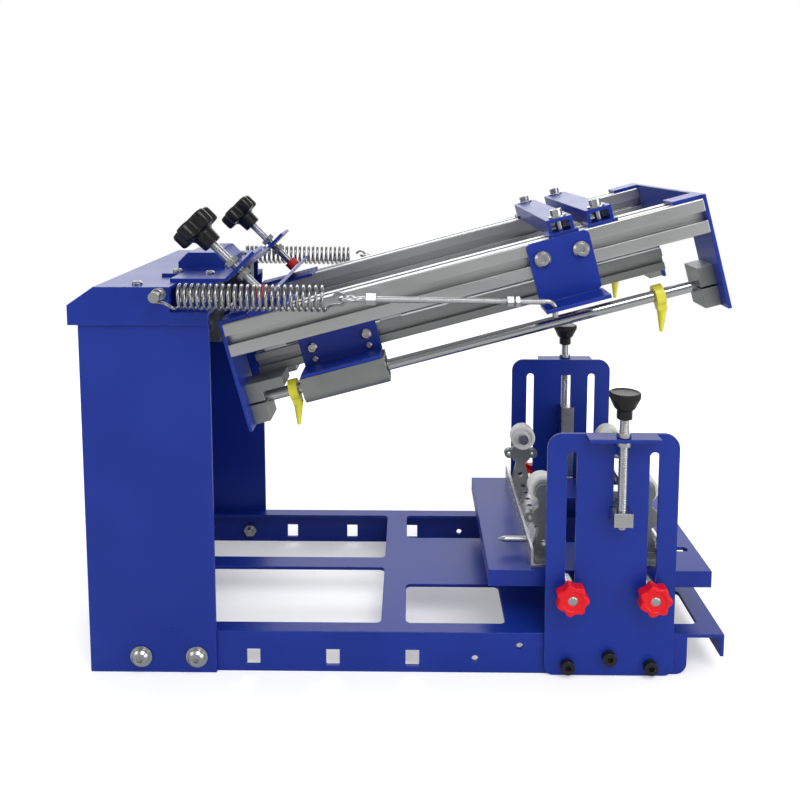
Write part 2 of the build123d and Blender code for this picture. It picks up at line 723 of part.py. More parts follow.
def spring_anchors():
    """Shouldered bolts in the cap's front and rear faces that the springs hook over."""
    anchors = []
    for side in SIDES:
        face = side * CAP_HALF_WIDTH
        tip = side * (PULL_Y + 4)
        anchor = rod_y(ANCHOR_X, *sorted((face - side * 2.5, tip)), ANCHOR_Z, 2.5)
        anchor += rod_y(ANCHOR_X, *sorted((face, face + side * 2)), ANCHOR_Z, 5)
        anchor += rod_y(ANCHOR_X, *sorted((tip, tip + side * 3)), ANCHOR_Z, 4.5)
        anchors.append(anchor)
    return Compound(anchors)


def jig_plate(side):
    """Upright slotted plate bolted to the base, with a tab at its top for the jack screw."""
    height = JIG_TOP - 0.5
    outline = Pos(JIG_X, 0.5 + height / 2) * Rectangle(JIG_WIDTH, height)
    outline = fillet(outline.vertices().group_by(Axis.Y)[-1], 13)
    outline = fillet(outline.vertices().group_by(Axis.Y)[0], 8)
    slot_low, slot_high = 62.0, 202.0
    for step in SIDES:
        slot = Rot(0, 0, 90) * SlotOverall(slot_high - slot_low, 8.4)
        outline -= Pos(JIG_X + step * JIG_SLOT_SPACING / 2, (slot_low + slot_high) / 2) * slot
    outline -= Pos(JACK_X, 170) * Rectangle(11, 60)
    for x, z in jig_bolt_places():
        outline -= Pos(x, z) * Circle(3)
    y0 = -BASE_HALF_WIDTH - SHEET if side < 0 else BASE_HALF_WIDTH
    plate = upright(outline, y0, SHEET)
    y0, y1 = sorted((side * (BASE_HALF_WIDTH + SHEET), side * (JACK_Y + 7)))
    tab = block(JACK_X - 30, JACK_X + 30, y0, y1, JIG_TOP - SHEET, JIG_TOP)
    tab -= rod_z(JACK_X, side * JACK_Y, JIG_TOP - 4, JIG_TOP + 1, 4.05)
    return plate + tab


def jig_bolts():
    """Black cap bolts that hold the jig plates to the base flanges."""
    bolts = []
    for side in SIDES:
        face = side * (BASE_HALF_WIDTH + SHEET)
        for x, z in jig_bolt_places():
            stem = rod_y(x, *sorted((face, side * (BASE_HALF_WIDTH - 8))), z, 3)
            head = rod_y(x, *sorted((face, face + side * 6)), z, 6)
            key = extrude(RegularPolygon(3, 6), amount=5)
            socket = Pos(x, face + side * 3, z) * Rot(-90 * side, 0, 0) * key
            bolts.append(stem + head - socket)
    return Compound(bolts)


def jack_knob(side):
    """Conical hand knob of a jack screw."""
    grip = Cone(8.5, 13, 9, align=(Align.CENTER, Align.CENTER, Align.MIN))
    grip += Pos(0, 0, 9) * Cylinder(13, 5, align=(Align.CENTER, Align.CENTER, Align.MIN))
    hub = Pos(0, 0, -9) * Cylinder(6.5, 9, align=(Align.CENTER, Align.CENTER, Align.MIN))
    knob = grip + hub - Pos(0, 0, -10) * Cylinder(4, 20, align=(Align.CENTER, Align.CENTER, Align.MIN))
    return Pos(JACK_X, side * JACK_Y, 243) * knob


def jack_screw(side):
    """Threaded spindle that raises the lift table, held by a collar on each side of the tab."""
    spindle = rod_z(JACK_X, side * JACK_Y, 138, 253, 4.0)
    for z in (JIG_TOP + 0.4, JIG_TOP - SHEET - 4.4):
        spindle += rod_z(JACK_X, side * JACK_Y, z, z + 4, 6.2)
    return spindle


def lift_table():
    """Folded tray between the jig plates that carries the roller rails."""
    half = TABLE_HALF_WIDTH
    table = block(TABLE_LEFT, TABLE_RIGHT, -half, half, TABLE_TOP - SHEET, TABLE_TOP)
    for x0 in (TABLE_LEFT, TABLE_RIGHT - SHEET):
        table += block(x0, x0 + SHEET, -half, half, TABLE_TOP - 15, TABLE_TOP)
    for y0 in (-half, half - SHEET):
        table += block(TABLE_LEFT, TABLE_RIGHT, y0, y0 + SHEET, TABLE_TOP - 15, TABLE_TOP)
    table -= block(160, 200, -50, 50, TABLE_TOP - 5, TABLE_TOP + 1)
    for y in (-62, 62):
        slot = extrude(SlotOverall(26, 8), amount=10)
        table -= Pos(258, y, TABLE_TOP - 5) * slot
    for side in SIDES:
        for step in SIDES:
            x = JIG_X + step * JIG_SLOT_SPACING / 2
            y0, y1 = sorted((side * (half - 4), side * (half + 1)))
            table -= rod_y(x, y0, y1, LOCK_Z, 3)
    return table


def lift_nuts():
    """Posts on the table's lips; an arm of each passes the jig plate's window to a nut on the jack screw."""
    nuts = []
    for side in SIDES:
        y0, y1 = sorted((side * TABLE_HALF_WIDTH, side * 107))
        body = block(JACK_X - 7, JACK_X + 7, y0, y1, 70, 84)
        y0, y1 = sorted((side * 106, side * (BASE_HALF_WIDTH - 0.6)))
        body += block(JACK_X - 7, JACK_X + 7, y0, y1, 62, 166)
        y0, y1 = sorted((side * 110, side * 126))
        body += block(JACK_X - 4.5, JACK_X + 4.5, y0, y1, 143, 153)
        y0, y1 = sorted((side * (BASE_HALF_WIDTH + SHEET + 0.8), side * (JACK_Y + 7)))
        body += block(JACK_X - 8, JACK_X + 8, y0, y1, 142, 154)
        nuts.append(body - rod_z(JACK_X, side * JACK_Y, 130, 160, 4.08))
    return Compound(nuts)


def lock_studs():
    """Studs from the table's lips, through the plates' slots, for the lock knobs."""
    studs = []
    for side in SIDES:
        for step in SIDES:
            x = JIG_X + step * JIG_SLOT_SPACING / 2
            stud = rod_y(x, *sorted((side * (TABLE_HALF_WIDTH - SHEET), side * 137)), LOCK_Z, 3)
            spacer = rod_y(x, *sorted((side * TABLE_HALF_WIDTH, side * (BASE_HALF_WIDTH - 0.6))), LOCK_Z, 6.5)
            studs.append(stud + spacer)
    return Compound(studs)


def lock_knob(side, step):
    """Seven-lobed red hand knob with a steel-look hub face towards the plate."""
    head = lobed_head(14.5, 7, 3.6, 11.0)
    hub = Pos(0, 0, 11) * Cylinder(7.5, 5, align=(Align.CENTER, Align.CENTER, Align.MIN))
    knob = head + hub - Pos(0, 0, 2) * Cylinder(3.06, 20, align=(Align.CENTER, Align.CENTER, Align.MIN))
    reach = BASE_HALF_WIDTH + SHEET + 0.4 + 16
    x = JIG_X + step * JIG_SLOT_SPACING / 2
    return Pos(x, side * reach, LOCK_Z) * Rot(90 * side, 0, 0) * knob


def roller_rails():
    """Two drilled steel angles along Y that the roller brackets are bolted to."""
    rails = []
    for x, lean in zip(ROLLER_X, SIDES):
        strip = block(x - 14, x + 14, -98, 98, TABLE_TOP, TABLE_TOP + SHEET)
        edge = sorted((x + lean * 14, x + lean * 11.5))
        strip += block(*edge, -98, 98, TABLE_TOP, TABLE_TOP + 18)
        for index in range(12):
            y = -88 + index * 16
            strip -= rod_z(x - lean * 3, y, TABLE_TOP - 1, TABLE_TOP + 4, 2.6)
            strip -= rod_x(x - 16, x + 16, y, TABLE_TOP + 11, 2.6)
        rails.append(strip)
    return Compound(rails)


def roller_brackets():
    """Four cast uprights with lock ears, each holding a roller's axle."""
    brackets = []
    for x in ROLLER_X:
        for side in SIDES:
            foot = TABLE_TOP + SHEET
            outline = make_face(
                Polyline(
                    (x - 11, foot),
                    (x + 11, foot),
                    (x + 5, 112),
                    (x + 5, ROLLER_Z),
                    (x - 5, ROLLER_Z),
                    (x - 5, 112),
                    close=True,
                )
            )
            outline += Pos(x, ROLLER_Z) * Circle(8)
            outline += Pos(x, 124) * Circle(11)
            for lean in SIDES:
                outline += Pos(x + lean * 13, 124) * Circle(5)
            for lean in SIDES:
                outline -= Pos(x + lean * 13, 124) * Circle(2.2)
            outline -= Pos(x, 100) * Circle(3)
            y0 = side * ROLLER_Y + (8 if side > 0 else -15)
            body = upright(outline, y0, 7)
            y0, y1 = sorted((side * ROLLER_Y + side * 8, side * (ROLLER_Y + 28)))
            body += block(x - 10, x + 10, y0, y1, foot, foot + SHEET)
            brackets.append(body)
    return Compound(brackets)


def roller_axles():
    """Shouldered axle pins with heads, fixed in the brackets."""
    axles = []
    for x in ROLLER_X:
        for side in SIDES:
            inner = side * (ROLLER_Y - 9)
            pin = rod_y(x, *sorted((inner, side * (ROLLER_Y + 8))), ROLLER_Z, 3)
            pin += rod_y(x, *sorted((inner, inner - side * 3)), ROLLER_Z, 5.5)
            axles.append(pin)
    return Compound(axles)


def roller(x, side):
    """Grooved nylon roller that the workpiece turns on."""
    bore = 3.06
    section = make_face(
        Polyline(
            (bore, -7.5),
            (ROLLER_RADIUS - 1.5, -7.5),
            (ROLLER_RADIUS, -6),
            (ROLLER_RADIUS, 6),
            (ROLLER_RADIUS - 1.5, 7.5),
            (bore, 7.5),
            close=True,
        )
    )
    wheel = revolve(Plane.XZ * section, axis=Axis.Z)
    for z in (7.5, -7.5):
        wheel -= Pos(0, 0, z) * (Cylinder(9.5, 3) - Cylinder(6, 4))
    return Pos(x, side * ROLLER_Y, ROLLER_Z) * Rot(90, 0, 0) * wheel


def locating_pin():
    """Pointed steel pin on the left roller rail, for registering the workpiece."""
    x = ROLLER_X[0] - 14
    pin = rod_x(x - 20, x, -66, 96, 2.8)
    pin += Pos(x - 23, -66, 96) * Rot(0, 90, 0) * Cone(0.6, 2.8, 6)
    return pin


def spring_gap():
    """The least space between the spring's turns, measured on points along its wire."""
    nodes = spring_nodes()
    points = []
    for (start, start_way), (end, end_way) in zip(nodes, nodes[1:]):
        for edge in biarc(start, start_way, end, end_way):
            points += [edge.position_at(step / 4) for step in range(4)]
    least = 1e9
    for index, point in enumerate(points):
        for other in points[index + 12:]:
            least = min(least, (point - other).length)
    return least - 2 * COIL_WIRE_RADIUS


def pull_ratios():
    """How far the pull line turns and lengthens for each degree and radian of the head's fall."""
    ends = []
    for rise in (HEAD_RISE, 0.0):
        hook_x, hook_z = hook_point(rise)
        run, fall = hook_x - ANCHOR_X, ANCHOR_Z - hook_z
        ends.append((math.hypot(run, fall), math.degrees(math.atan2(fall, run))))
    turn = (ends[1][1] - ends[0][1]) / HEAD_RISE
    stretch = (ends[1][0] - ends[0][0]) / math.radians(HEAD_RISE)
    return turn, stretch


def all_nodes():
    """Every named piece of the press."""
    nodes = {
        "base_frame": base_frame(),
        "column_shell": column_shell(),
        "column_cap": column_cap(),
        "foot_bolts": foot_bolts(),
        "hinge_blocks": hinge_blocks(),
        "hinge_shaft": hinge_shaft(),
        "cap_screws": cap_screws(),
        "stop_bracket": stop_bracket(),
        "spring_anchors": spring_anchors(),
        "jig_bolts": jig_bolts(),
        "left_end_plate": end_plate(BEAM_START - SHEET, BEAM_START - SHEET, BEAM_START + 22),
        "right_end_plate": end_plate(BEAM_END, BEAM_END - 25, BEAM_END + SHEET),
        "rod_supports": rod_supports(),
        "guide_rods": guide_rods(),
        "stop_collars": stop_collars(),
        "hinge_cheeks": hinge_cheeks(),
        "hinge_bushes": hinge_bushes(),
        "strike_bar": strike_bar(),
        "spring_brackets": spring_brackets(),
        "head_screws": head_screws(),
        "squeegee_bars": squeegee_bars(),
        "carriage_rails": carriage_rails(),
        "bearing_housings": bearing_housings(),
        "ball_bushings": ball_bushings(),
        "tie_brackets": tie_brackets(),
        "tie_bracket_screws": tie_bracket_screws(),
        "carriage_cross_bars": carriage_cross_bars(),
        "lift_table": lift_table(),
        "lift_nuts": lift_nuts(),
        "lock_studs": lock_studs(),
        "roller_rails": roller_rails(),
        "roller_brackets": roller_brackets(),
        "roller_axles": roller_axles(),
        "locating_pin": locating_pin(),
    }
    for name, side in (("front", -1), ("rear", 1)):
        nodes[name + "_beam"] = beam(side)
        nodes[name + "_spring"] = spring(side)
        nodes[name + "_pull_rod"] = pull_rod(side)
        nodes[name + "_jig_plate"] = jig_plate(side)
        nodes[name + "_jack_knob"] = jack_knob(side)
        nodes[name + "_jack_screw"] = jack_screw(side)
        for way, step, x in (("left", -1, ROLLER_X[0]), ("right", 1, ROLLER_X[1])):
            nodes[f"{name}_{way}_lock_knob"] = lock_knob(side, step)
            nodes[f"{name}_{way}_roller"] = roller(x, side)
    return nodes


def stop_screw_nodes():
    """The two stop screws, each a knob on a stud with its bumper."""
    nodes = {}
    for name, side in (("front", -1), ("rear", 1)):
        nodes[name + "_stop_knob"] = stop_knob(side)
        nodes[name + "_stop_stud"] = stop_stud(side)
        nodes[name + "_stop_bumper"] = stop_bumper(side)
    return nodes


os.makedirs("parts", exist_ok=True)
pieces = all_nodes()
pieces.update(stop_screw_nodes())
for name, piece in pieces.items():
    export_step(Pos(-MIDDLE_X, 0, 0) * piece, f"parts/{name}.step")
print(len(pieces), "nodes; pull line", round(pull_length(), 2), "mm; middle x", MIDDLE_X)
print("least gap between the spring's turns", round(spring_gap(), 2), "mm")
print("pull line: turn per degree, mm per radian", [round(value, 5) for value in pull_ratios()])
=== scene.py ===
# %% [markdown]
# # A curved screen printing press, dressed for its portrait
# The press has a folded blue steel column, a head of slotted aluminium beams that tilts on a shaft,
# a screen carriage on ground rods, and a lift table with nylon rollers between two slotted plates.
# The construction comes in ready made and stays as it is. What is made here is how it looks:
# the finish of every surface, and the pieces whose charm is in their curves, such as the springs,
# the threads and the hand knobs. The frame is read first.

# %% Load the frame
import json
import math

import bmesh
import bpy
import numpy as np
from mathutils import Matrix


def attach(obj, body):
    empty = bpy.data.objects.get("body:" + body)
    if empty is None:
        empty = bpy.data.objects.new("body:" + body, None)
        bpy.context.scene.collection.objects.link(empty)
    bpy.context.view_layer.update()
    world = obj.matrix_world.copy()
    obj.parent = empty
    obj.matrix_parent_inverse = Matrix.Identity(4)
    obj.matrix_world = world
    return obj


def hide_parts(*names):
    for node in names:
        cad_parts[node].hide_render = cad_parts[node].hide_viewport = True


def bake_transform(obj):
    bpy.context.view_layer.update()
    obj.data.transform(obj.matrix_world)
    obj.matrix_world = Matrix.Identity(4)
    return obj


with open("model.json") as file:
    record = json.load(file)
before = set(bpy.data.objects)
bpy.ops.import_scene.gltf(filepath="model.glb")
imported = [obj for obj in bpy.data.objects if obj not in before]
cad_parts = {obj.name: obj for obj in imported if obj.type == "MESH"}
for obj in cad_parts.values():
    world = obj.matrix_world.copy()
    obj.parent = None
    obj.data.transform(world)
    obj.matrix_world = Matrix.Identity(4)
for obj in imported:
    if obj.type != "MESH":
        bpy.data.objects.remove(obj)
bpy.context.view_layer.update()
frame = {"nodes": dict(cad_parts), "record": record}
nodes = frame["nodes"]

# %% [markdown]
# ## The camera
# The photograph was taken from the operator's side, a little above the table and quite close, so
# the front plate of the lift table looks nearly half as wide again as the rear one. Its vertical
# edges stay almost parallel, which is the sign of a camera held nearly level and then cropped to its
# lower part. A small downward tilt and a modest shift give the same picture.

# %% Camera
PHOTO_SIZE = 800
FOCAL_PIXELS = 805.3
HORIZON_PIXEL = 230
CAMERA_PLACE = (0.0074, -0.7878, 0.4570)
CAMERA_TILT_DOWN = math.radians(5.63)
CAMERA_TURN = 0.0135

camera_data = bpy.data.cameras.new("camera")
camera_data.sensor_width = 36.0
camera_data.lens = camera_data.sensor_width * FOCAL_PIXELS / PHOTO_SIZE
camera_data.shift_y = -(PHOTO_SIZE / 2 - HORIZON_PIXEL) / PHOTO_SIZE
camera = bpy.data.objects.new("camera", camera_data)
camera.location = CAMERA_PLACE
camera.rotation_euler = (math.pi / 2 - CAMERA_TILT_DOWN, 0.0, CAMERA_TURN)
scene = bpy.context.scene
scene.collection.objects.link(camera)
scene.camera = camera
scene.view_settings.view_transform = "Standard"
print("lens", round(camera_data.lens, 1), "mm")

# %% [markdown]
# ## Small helpers for node trees
# A material is a graph, and most of the work of making one is adding a node, setting its values
# and joining it up. Four short helpers keep the recipes below readable. The last one tells apart
# what the camera sees, what a shiny surface mirrors and what only lights the scene.

# %% Node helpers
def add(tree, kind, **values):
    """Adds a node and sets its properties, or its input sockets where the name is a socket's."""
    node = tree.nodes.new(kind)
    for name, value in values.items():
        label = name.replace("_", " ")
        match = [socket for socket in node.inputs if socket.name.lower() == label]
        if match:
            match[0].default_value = value
        else:
            setattr(node, name, value)
    return node


def join(tree, start, end):
    """Links an output socket to an input socket."""
    tree.links.new(start, end)


def ramp(tree, source, low, high):
    """Stretches a value from low..high to 0..1, held at both ends."""
    node = add(tree, "ShaderNodeMapRange")
    node.inputs["From Min"].default_value = low
    node.inputs["From Max"].default_value = high
    join(tree, source, node.inputs["Value"])
    return node.outputs["Result"]


def by_ray(tree, others, camera_rays, gloss_rays):
    """A value that differs for the camera's rays, for mirrored rays and for all the others."""
    path = add(tree, "ShaderNodeLightPath")
    total = others
    for seen, value in (("Is Camera Ray", camera_rays), ("Is Glossy Ray", gloss_rays)):
        step = add(tree, "ShaderNodeMath", operation="MULTIPLY_ADD")
        join(tree, path.outputs[seen], step.inputs[0])
        step.inputs[1].default_value = value - others
        if total is others:
            step.inputs[2].default_value = others
        else:
            join(tree, total, step.inputs[2])
        total = step.outputs[0]
    return total


# %% [markdown]
# ## A white room
# The press stands on a white sweep of paper. The floor and the wall are one curved sheet, so no
# horizon line shows. White comes from the sheet's colour. For the camera's rays it also has a soft
# glow, which lifts it to full white while the object keeps its shadow. Metal and gloss mirror a
# dimmer sheet, because a full white all round would wash the deep blue out.

# %% Floor sweep
SWEEP_HALF_WIDTH = 3.0
SWEEP_FRONT = -3.0
SWEEP_BACK = 2.2
SWEEP_HEIGHT = 3.0
SWEEP_RADIUS = 1.0
SWEEP_STEPS = 24
FAR_START = 0.7
FAR_END = 1.5
PAPER_WHITE = 0.86
PAPER_WHITE_IN_GLOSS = 0.42
PAPER_GLOW = 0.30
PAPER_GLOW_IN_GLOSS = 0.10
PLAIN_WHITE = (1.0, 1.0, 1.0, 1.0)


def grid_faces(rows, columns, closed=False):
    """Quads between the neighbours of a grid: each holds (i, j), (i+1, j), (i+1, j+1), (i, j+1).

    Where closed is true, the last column joins the first one, as round a tube."""
    steps_up = np.arange(rows - 1)
    steps_across = np.arange(columns if closed else columns - 1)
    i, j = (index.ravel() for index in np.meshgrid(steps_up, steps_across, indexing="ij"))
    low, high, beside = i * columns, (i + 1) * columns, (j + 1) % columns
    return np.stack([low + j, high + j, high + beside, low + beside], axis=1).tolist()


def mesh_object(name, points, faces):
    """Makes a smooth shaded object at the origin from an array of points and a list of faces."""
    mesh = bpy.data.meshes.new(name)
    mesh.from_pydata(np.asarray(points, dtype=float).reshape(-1, 3).tolist(), [], faces)
    mesh.validate()
    mesh.polygons.foreach_set("use_smooth", np.ones(len(mesh.polygons), dtype=bool))
    piece = bpy.data.objects.new(name, mesh)
    bpy.context.scene.collection.objects.link(piece)
    return piece


def sweep_profile(steps):
    """The paper's side view: flat, then a quarter circle of SWEEP_RADIUS, then upright."""
    turn = np.linspace(0.0, math.pi / 2, steps)
    curve_y = SWEEP_BACK - SWEEP_RADIUS + SWEEP_RADIUS * np.sin(turn)
    curve_z = SWEEP_RADIUS * (1 - np.cos(turn))
    y = np.concatenate([[SWEEP_FRONT], curve_y, [SWEEP_BACK]])
    z = np.concatenate([[0.0], curve_z, [SWEEP_HEIGHT]])
    return y, z


profile_y, profile_z = sweep_profile(SWEEP_STEPS)
sweep_x = np.repeat([-SWEEP_HALF_WIDTH, SWEEP_HALF_WIDTH], len(profile_y))
paper_points = np.stack([sweep_x, np.tile(profile_y, 2), np.tile(profile_z, 2)], axis=1)
paper = mesh_object("paper_sweep", paper_points, grid_faces(2, len(profile_y)))
print("paper points", len(paper_points))

# %% [markdown]
# ### What the paper is made of
# The paper is a plain diffuse surface and a faint glow, added together. Far from the press it turns
# to a pure white glow for the camera alone, so that the edges of the sheet never show in a view from
# the side. The distance is measured on the paper itself, from the point where the press stands.

# %% White paper
paper_material = bpy.data.materials.new("white_paper")
paper_material.use_nodes = True
tree = paper_material.node_tree
tree.nodes.clear()
paper_diffuse = add(tree, "ShaderNodeBsdfDiffuse")
paper_tone = by_ray(tree, PAPER_WHITE, PAPER_WHITE, PAPER_WHITE_IN_GLOSS)
join(tree, paper_tone, paper_diffuse.inputs["Color"])
paper_glow = add(tree, "ShaderNodeEmission", color=PLAIN_WHITE)
join(tree, by_ray(tree, 0.0, PAPER_GLOW, PAPER_GLOW_IN_GLOSS), paper_glow.inputs["Strength"])
paper_sum = add(tree, "ShaderNodeAddShader")
join(tree, paper_diffuse.outputs[0], paper_sum.inputs[0])
join(tree, paper_glow.outputs[0], paper_sum.inputs[1])
paper_place = add(tree, "ShaderNodeTexCoord")
distance = add(tree, "ShaderNodeVectorMath", operation="LENGTH")
join(tree, paper_place.outputs["Object"], distance.inputs[0])
far = ramp(tree, distance.outputs["Value"], FAR_START, FAR_END)
far_seen = add(tree, "ShaderNodeMath", operation="MULTIPLY")
join(tree, far, far_seen.inputs[0])
join(tree, by_ray(tree, 0.0, 1.0, 0.0), far_seen.inputs[1])
far_white = add(tree, "ShaderNodeEmission", color=PLAIN_WHITE)
paper_mix = add(tree, "ShaderNodeMixShader")
join(tree, far_seen.outputs[0], paper_mix.inputs[0])
join(tree, paper_sum.outputs[0], paper_mix.inputs[1])
join(tree, far_white.outputs[0], paper_mix.inputs[2])
paper_out = add(tree, "ShaderNodeOutputMaterial")
join(tree, paper_mix.outputs[0], paper_out.inputs["Surface"])
paper.data.materials.append(paper_material)
print("paper nodes", len(tree.nodes))

# %% [markdown]
# ## Light
# A product picture like this one is lit by a large soft box above and in front, with the white
# room filling the rest. A weaker box on each side opens the shadows, and the right one reaches into
# the open column. The long box low behind the press is mirrored in every level top, which turns the
# blue there to a pale lavender. The strip above it draws the bright upper edges.

# %% Soft boxes
# name: place, the point it faces, width and height in metres, power in watts
SOFT_BOXES = {
    "key_light": ((0.5, -1.3, 1.9), (0.0, 0.0, 0.15), 1.2, 1.0, 19.5),
    "left_fill": ((-1.7, -0.9, 0.9), (0.0, 0.0, 0.2), 0.9, 0.9, 5.0),
    "right_fill": ((1.5, -1.0, 0.5), (-0.1, 0.0, 0.2), 0.9, 0.9, 8.0),
    "horizon_light": ((0.0, 1.5, 0.9), (0.0, 0.0, 0.1), 2.6, 0.7, 9.0),
    "back_light": ((-0.4, 1.4, 1.7), (0.0, 0.0, 0.2), 1.6, 0.5, 11.0),
}


def soft_box(name, place, aim, width, height, power):
    """A rectangular area light at place, turned to face aim."""
    data = bpy.data.lights.new(name, "AREA")
    data.shape = "RECTANGLE"
    data.size = width
    data.size_y = height
    data.energy = power
    lamp = bpy.data.objects.new(name, data)
    lamp.location = place
    direction = np.array(aim) - np.array(place)
    yaw = math.atan2(-direction[0], direction[1])
    pitch = math.atan2(direction[2], math.hypot(direction[0], direction[1]))
    lamp.rotation_euler = (math.pi / 2 + pitch, 0.0, yaw)
    bpy.context.scene.collection.objects.link(lamp)


for lamp_name, lamp_values in SOFT_BOXES.items():
    soft_box(lamp_name, *lamp_values)
print("soft boxes", len(SOFT_BOXES))

# %% [markdown]
# ### The room beyond the paper
# The world stands for the rest of the room. The camera sees it as plain white, it lights the press
# from all sides at a lower strength, and shiny surfaces mirror it dimmer still.

# %% World
WORLD_LIGHT = 0.62
WORLD_IN_GLOSS = 0.34

world = bpy.data.worlds.new("white_room")
world.use_nodes = True
tree = world.node_tree
tree.nodes.clear()
world_background = add(tree, "ShaderNodeBackground", color=PLAIN_WHITE)
world_strength = by_ray(tree, WORLD_LIGHT, 1.0, WORLD_IN_GLOSS)
join(tree, world_strength, world_background.inputs["Strength"])
world_out = add(tree, "ShaderNodeOutputWorld")
join(tree, world_background.outputs[0], world_out.inputs["Surface"])
scene.world = world
print("world nodes", len(tree.nodes))

# %% [markdown]
# ## Edge wear, one group for every finish
# On real sheet steel the folded and cut edges catch the light first: the paint is thinner there and
# a little polished by hands. The frame's own meshes have perfectly sharp edges, so the group asks
# the Bevel node for a rounded normal. Where it differs from the true one, there is an edge.
# The mask breaks up with noise, so that it never looks like an outline.

# %% Group: edge wear
def new_group(name, inputs, outputs):
    """An empty shader group with typed inputs and outputs, and its two end nodes."""
    group = bpy.data.node_groups.new(name, "ShaderNodeTree")
    for label, kind, value in inputs:
        socket = group.interface.new_socket(label, in_out="INPUT", socket_type=kind)
        socket.default_value = value
    for label, kind in outputs:
        group.interface.new_socket(label, in_out="OUTPUT", socket_type=kind)
    start = group.nodes.new("NodeGroupInput")
    end = group.nodes.new("NodeGroupOutput")
    return group, start, end


FLOAT = "NodeSocketFloat"
VECTOR = "NodeSocketVector"
BEVEL_SAMPLES = 6
FLAT_COSINE = 0.995
SHARP_COSINE = 0.86
PATCH_LOW = 0.40
PATCH_HIGH = 0.66

edge_group, start, end = new_group(
    "edge_wear",
    [("Radius", FLOAT, 0.0008), ("Patch Size", FLOAT, 120.0)],
    [("Edge", FLOAT), ("Rounded Normal", VECTOR)],
)
bevel = add(edge_group, "ShaderNodeBevel", samples=BEVEL_SAMPLES)
join(edge_group, start.outputs["Radius"], bevel.inputs["Radius"])
geometry = add(edge_group, "ShaderNodeNewGeometry")
alike = add(edge_group, "ShaderNodeVectorMath", operation="DOT_PRODUCT")
join(edge_group, bevel.outputs["Normal"], alike.inputs[0])
join(edge_group, geometry.outputs["True Normal"], alike.inputs[1])
sharp = ramp(edge_group, alike.outputs["Value"], FLAT_COSINE, SHARP_COSINE)
place = add(edge_group, "ShaderNodeTexCoord")
patches = add(edge_group, "ShaderNodeTexNoise", detail=3.0)
join(edge_group, place.outputs["Object"], patches.inputs["Vector"])
join(edge_group, start.outputs["Patch Size"], patches.inputs["Scale"])
broken = ramp(edge_group, patches.outputs["Fac"], PATCH_LOW, PATCH_HIGH)
masked = add(edge_group, "ShaderNodeMath", operation="MULTIPLY")
join(edge_group, sharp, masked.inputs[0])
join(edge_group, broken, masked.inputs[1])
join(edge_group, masked.outputs[0], end.inputs["Edge"])
join(edge_group, bevel.outputs["Normal"], end.inputs["Rounded Normal"])
print("edge wear nodes", len(edge_group.nodes))

# %% [markdown]
# ## Fine surface grain
# Powder coat has a faint orange peel, cast aluminium has a sandy skin, moulded plastic has a soft
# spark-eroded texture. All three are the same thing at different scales: two layers of noise, one
# for the bumps and a slower one for how evenly the surface shines.

# %% Group: grain
SLOW_LOW = 0.2
SLOW_HIGH = 0.8

grain_group, start, end = new_group(
    "grain",
    [("Fine Scale", FLOAT, 900.0), ("Slow Scale", FLOAT, 14.0)],
    [("Height", FLOAT), ("Slow", FLOAT)],
)
place = add(grain_group, "ShaderNodeTexCoord")
fine = add(grain_group, "ShaderNodeTexNoise", detail=2.0)
slow = add(grain_group, "ShaderNodeTexNoise", detail=4.0)
for texture, scale in ((fine, "Fine Scale"), (slow, "Slow Scale")):
    join(grain_group, place.outputs["Object"], texture.inputs["Vector"])
    join(grain_group, start.outputs[scale], texture.inputs["Scale"])
join(grain_group, fine.outputs["Fac"], end.inputs["Height"])
slow_spread = ramp(grain_group, slow.outputs["Fac"], SLOW_LOW, SLOW_HIGH)
join(grain_group, slow_spread, end.inputs["Slow"])
print("grain nodes", len(grain_group.nodes))

# %% [markdown]
# ## Lines along a bar
# An extruded or drawn bar carries fine lines along its length from the die. The lines come from
# noise that is stretched along the bar, by shrinking the coordinate on that axis. Most bars of the
# head lie at its resting slope of 15 degrees, so the pattern is turned by that much before.

# %% Group: drawn lines
HEAD_RISE = math.radians(15.0)
SHRINK_ALONG = (0.004, 1.0, 1.0)

lines_group, start, end = new_group(
    "drawn_lines",
    [("Slope", VECTOR, (0.0, 0.0, 0.0)), ("Across", FLOAT, 1400.0)],
    [("Line", FLOAT)],
)
place = add(lines_group, "ShaderNodeTexCoord")
level = add(lines_group, "ShaderNodeVectorRotate", rotation_type="EULER_XYZ")
join(lines_group, place.outputs["Object"], level.inputs["Vector"])
join(lines_group, start.outputs["Slope"], level.inputs["Rotation"])
stretched = add(lines_group, "ShaderNodeVectorMath", operation="MULTIPLY")
stretched.inputs[1].default_value = SHRINK_ALONG
join(lines_group, level.outputs["Vector"], stretched.inputs[0])
streaks = add(lines_group, "ShaderNodeTexNoise", detail=3.0)
join(lines_group, stretched.outputs[0], streaks.inputs["Vector"])
join(lines_group, start.outputs["Across"], streaks.inputs["Scale"])
join(lines_group, streaks.outputs["Fac"], end.inputs["Line"])
print("drawn line nodes", len(lines_group.nodes))

# %% [markdown]
# ## One recipe, many finishes
# Each finish is a Principled shader whose colour shifts between two near tones, whose roughness
# moves around a middle value, and whose normal has the rounded edges and a little bump. The
# differences are in the numbers, so a single function makes them all from named values.

# %% Recipe helpers
def group_node(tree, group, **values):
    """Places a group in a tree and sets its inputs."""
    node = tree.nodes.new("ShaderNodeGroup")
    node.node_tree = group
    for name, value in values.items():
        node.inputs[name.replace("_", " ").title()].default_value = value
    return node


def blend_colors(tree, factor, first, second):
    """A colour that moves from first to second as the factor goes from 0 to 1."""
    mix = tree.nodes.new("ShaderNodeMix")
    mix.data_type = "RGBA"
    join(tree, factor, mix.inputs["Factor"])
    for socket, value in ((mix.inputs[6], first), (mix.inputs[7], second)):
        if isinstance(value, tuple):
            socket.default_value = (*value, 1.0)
        else:
            join(tree, value, socket)
    return mix.outputs[2]


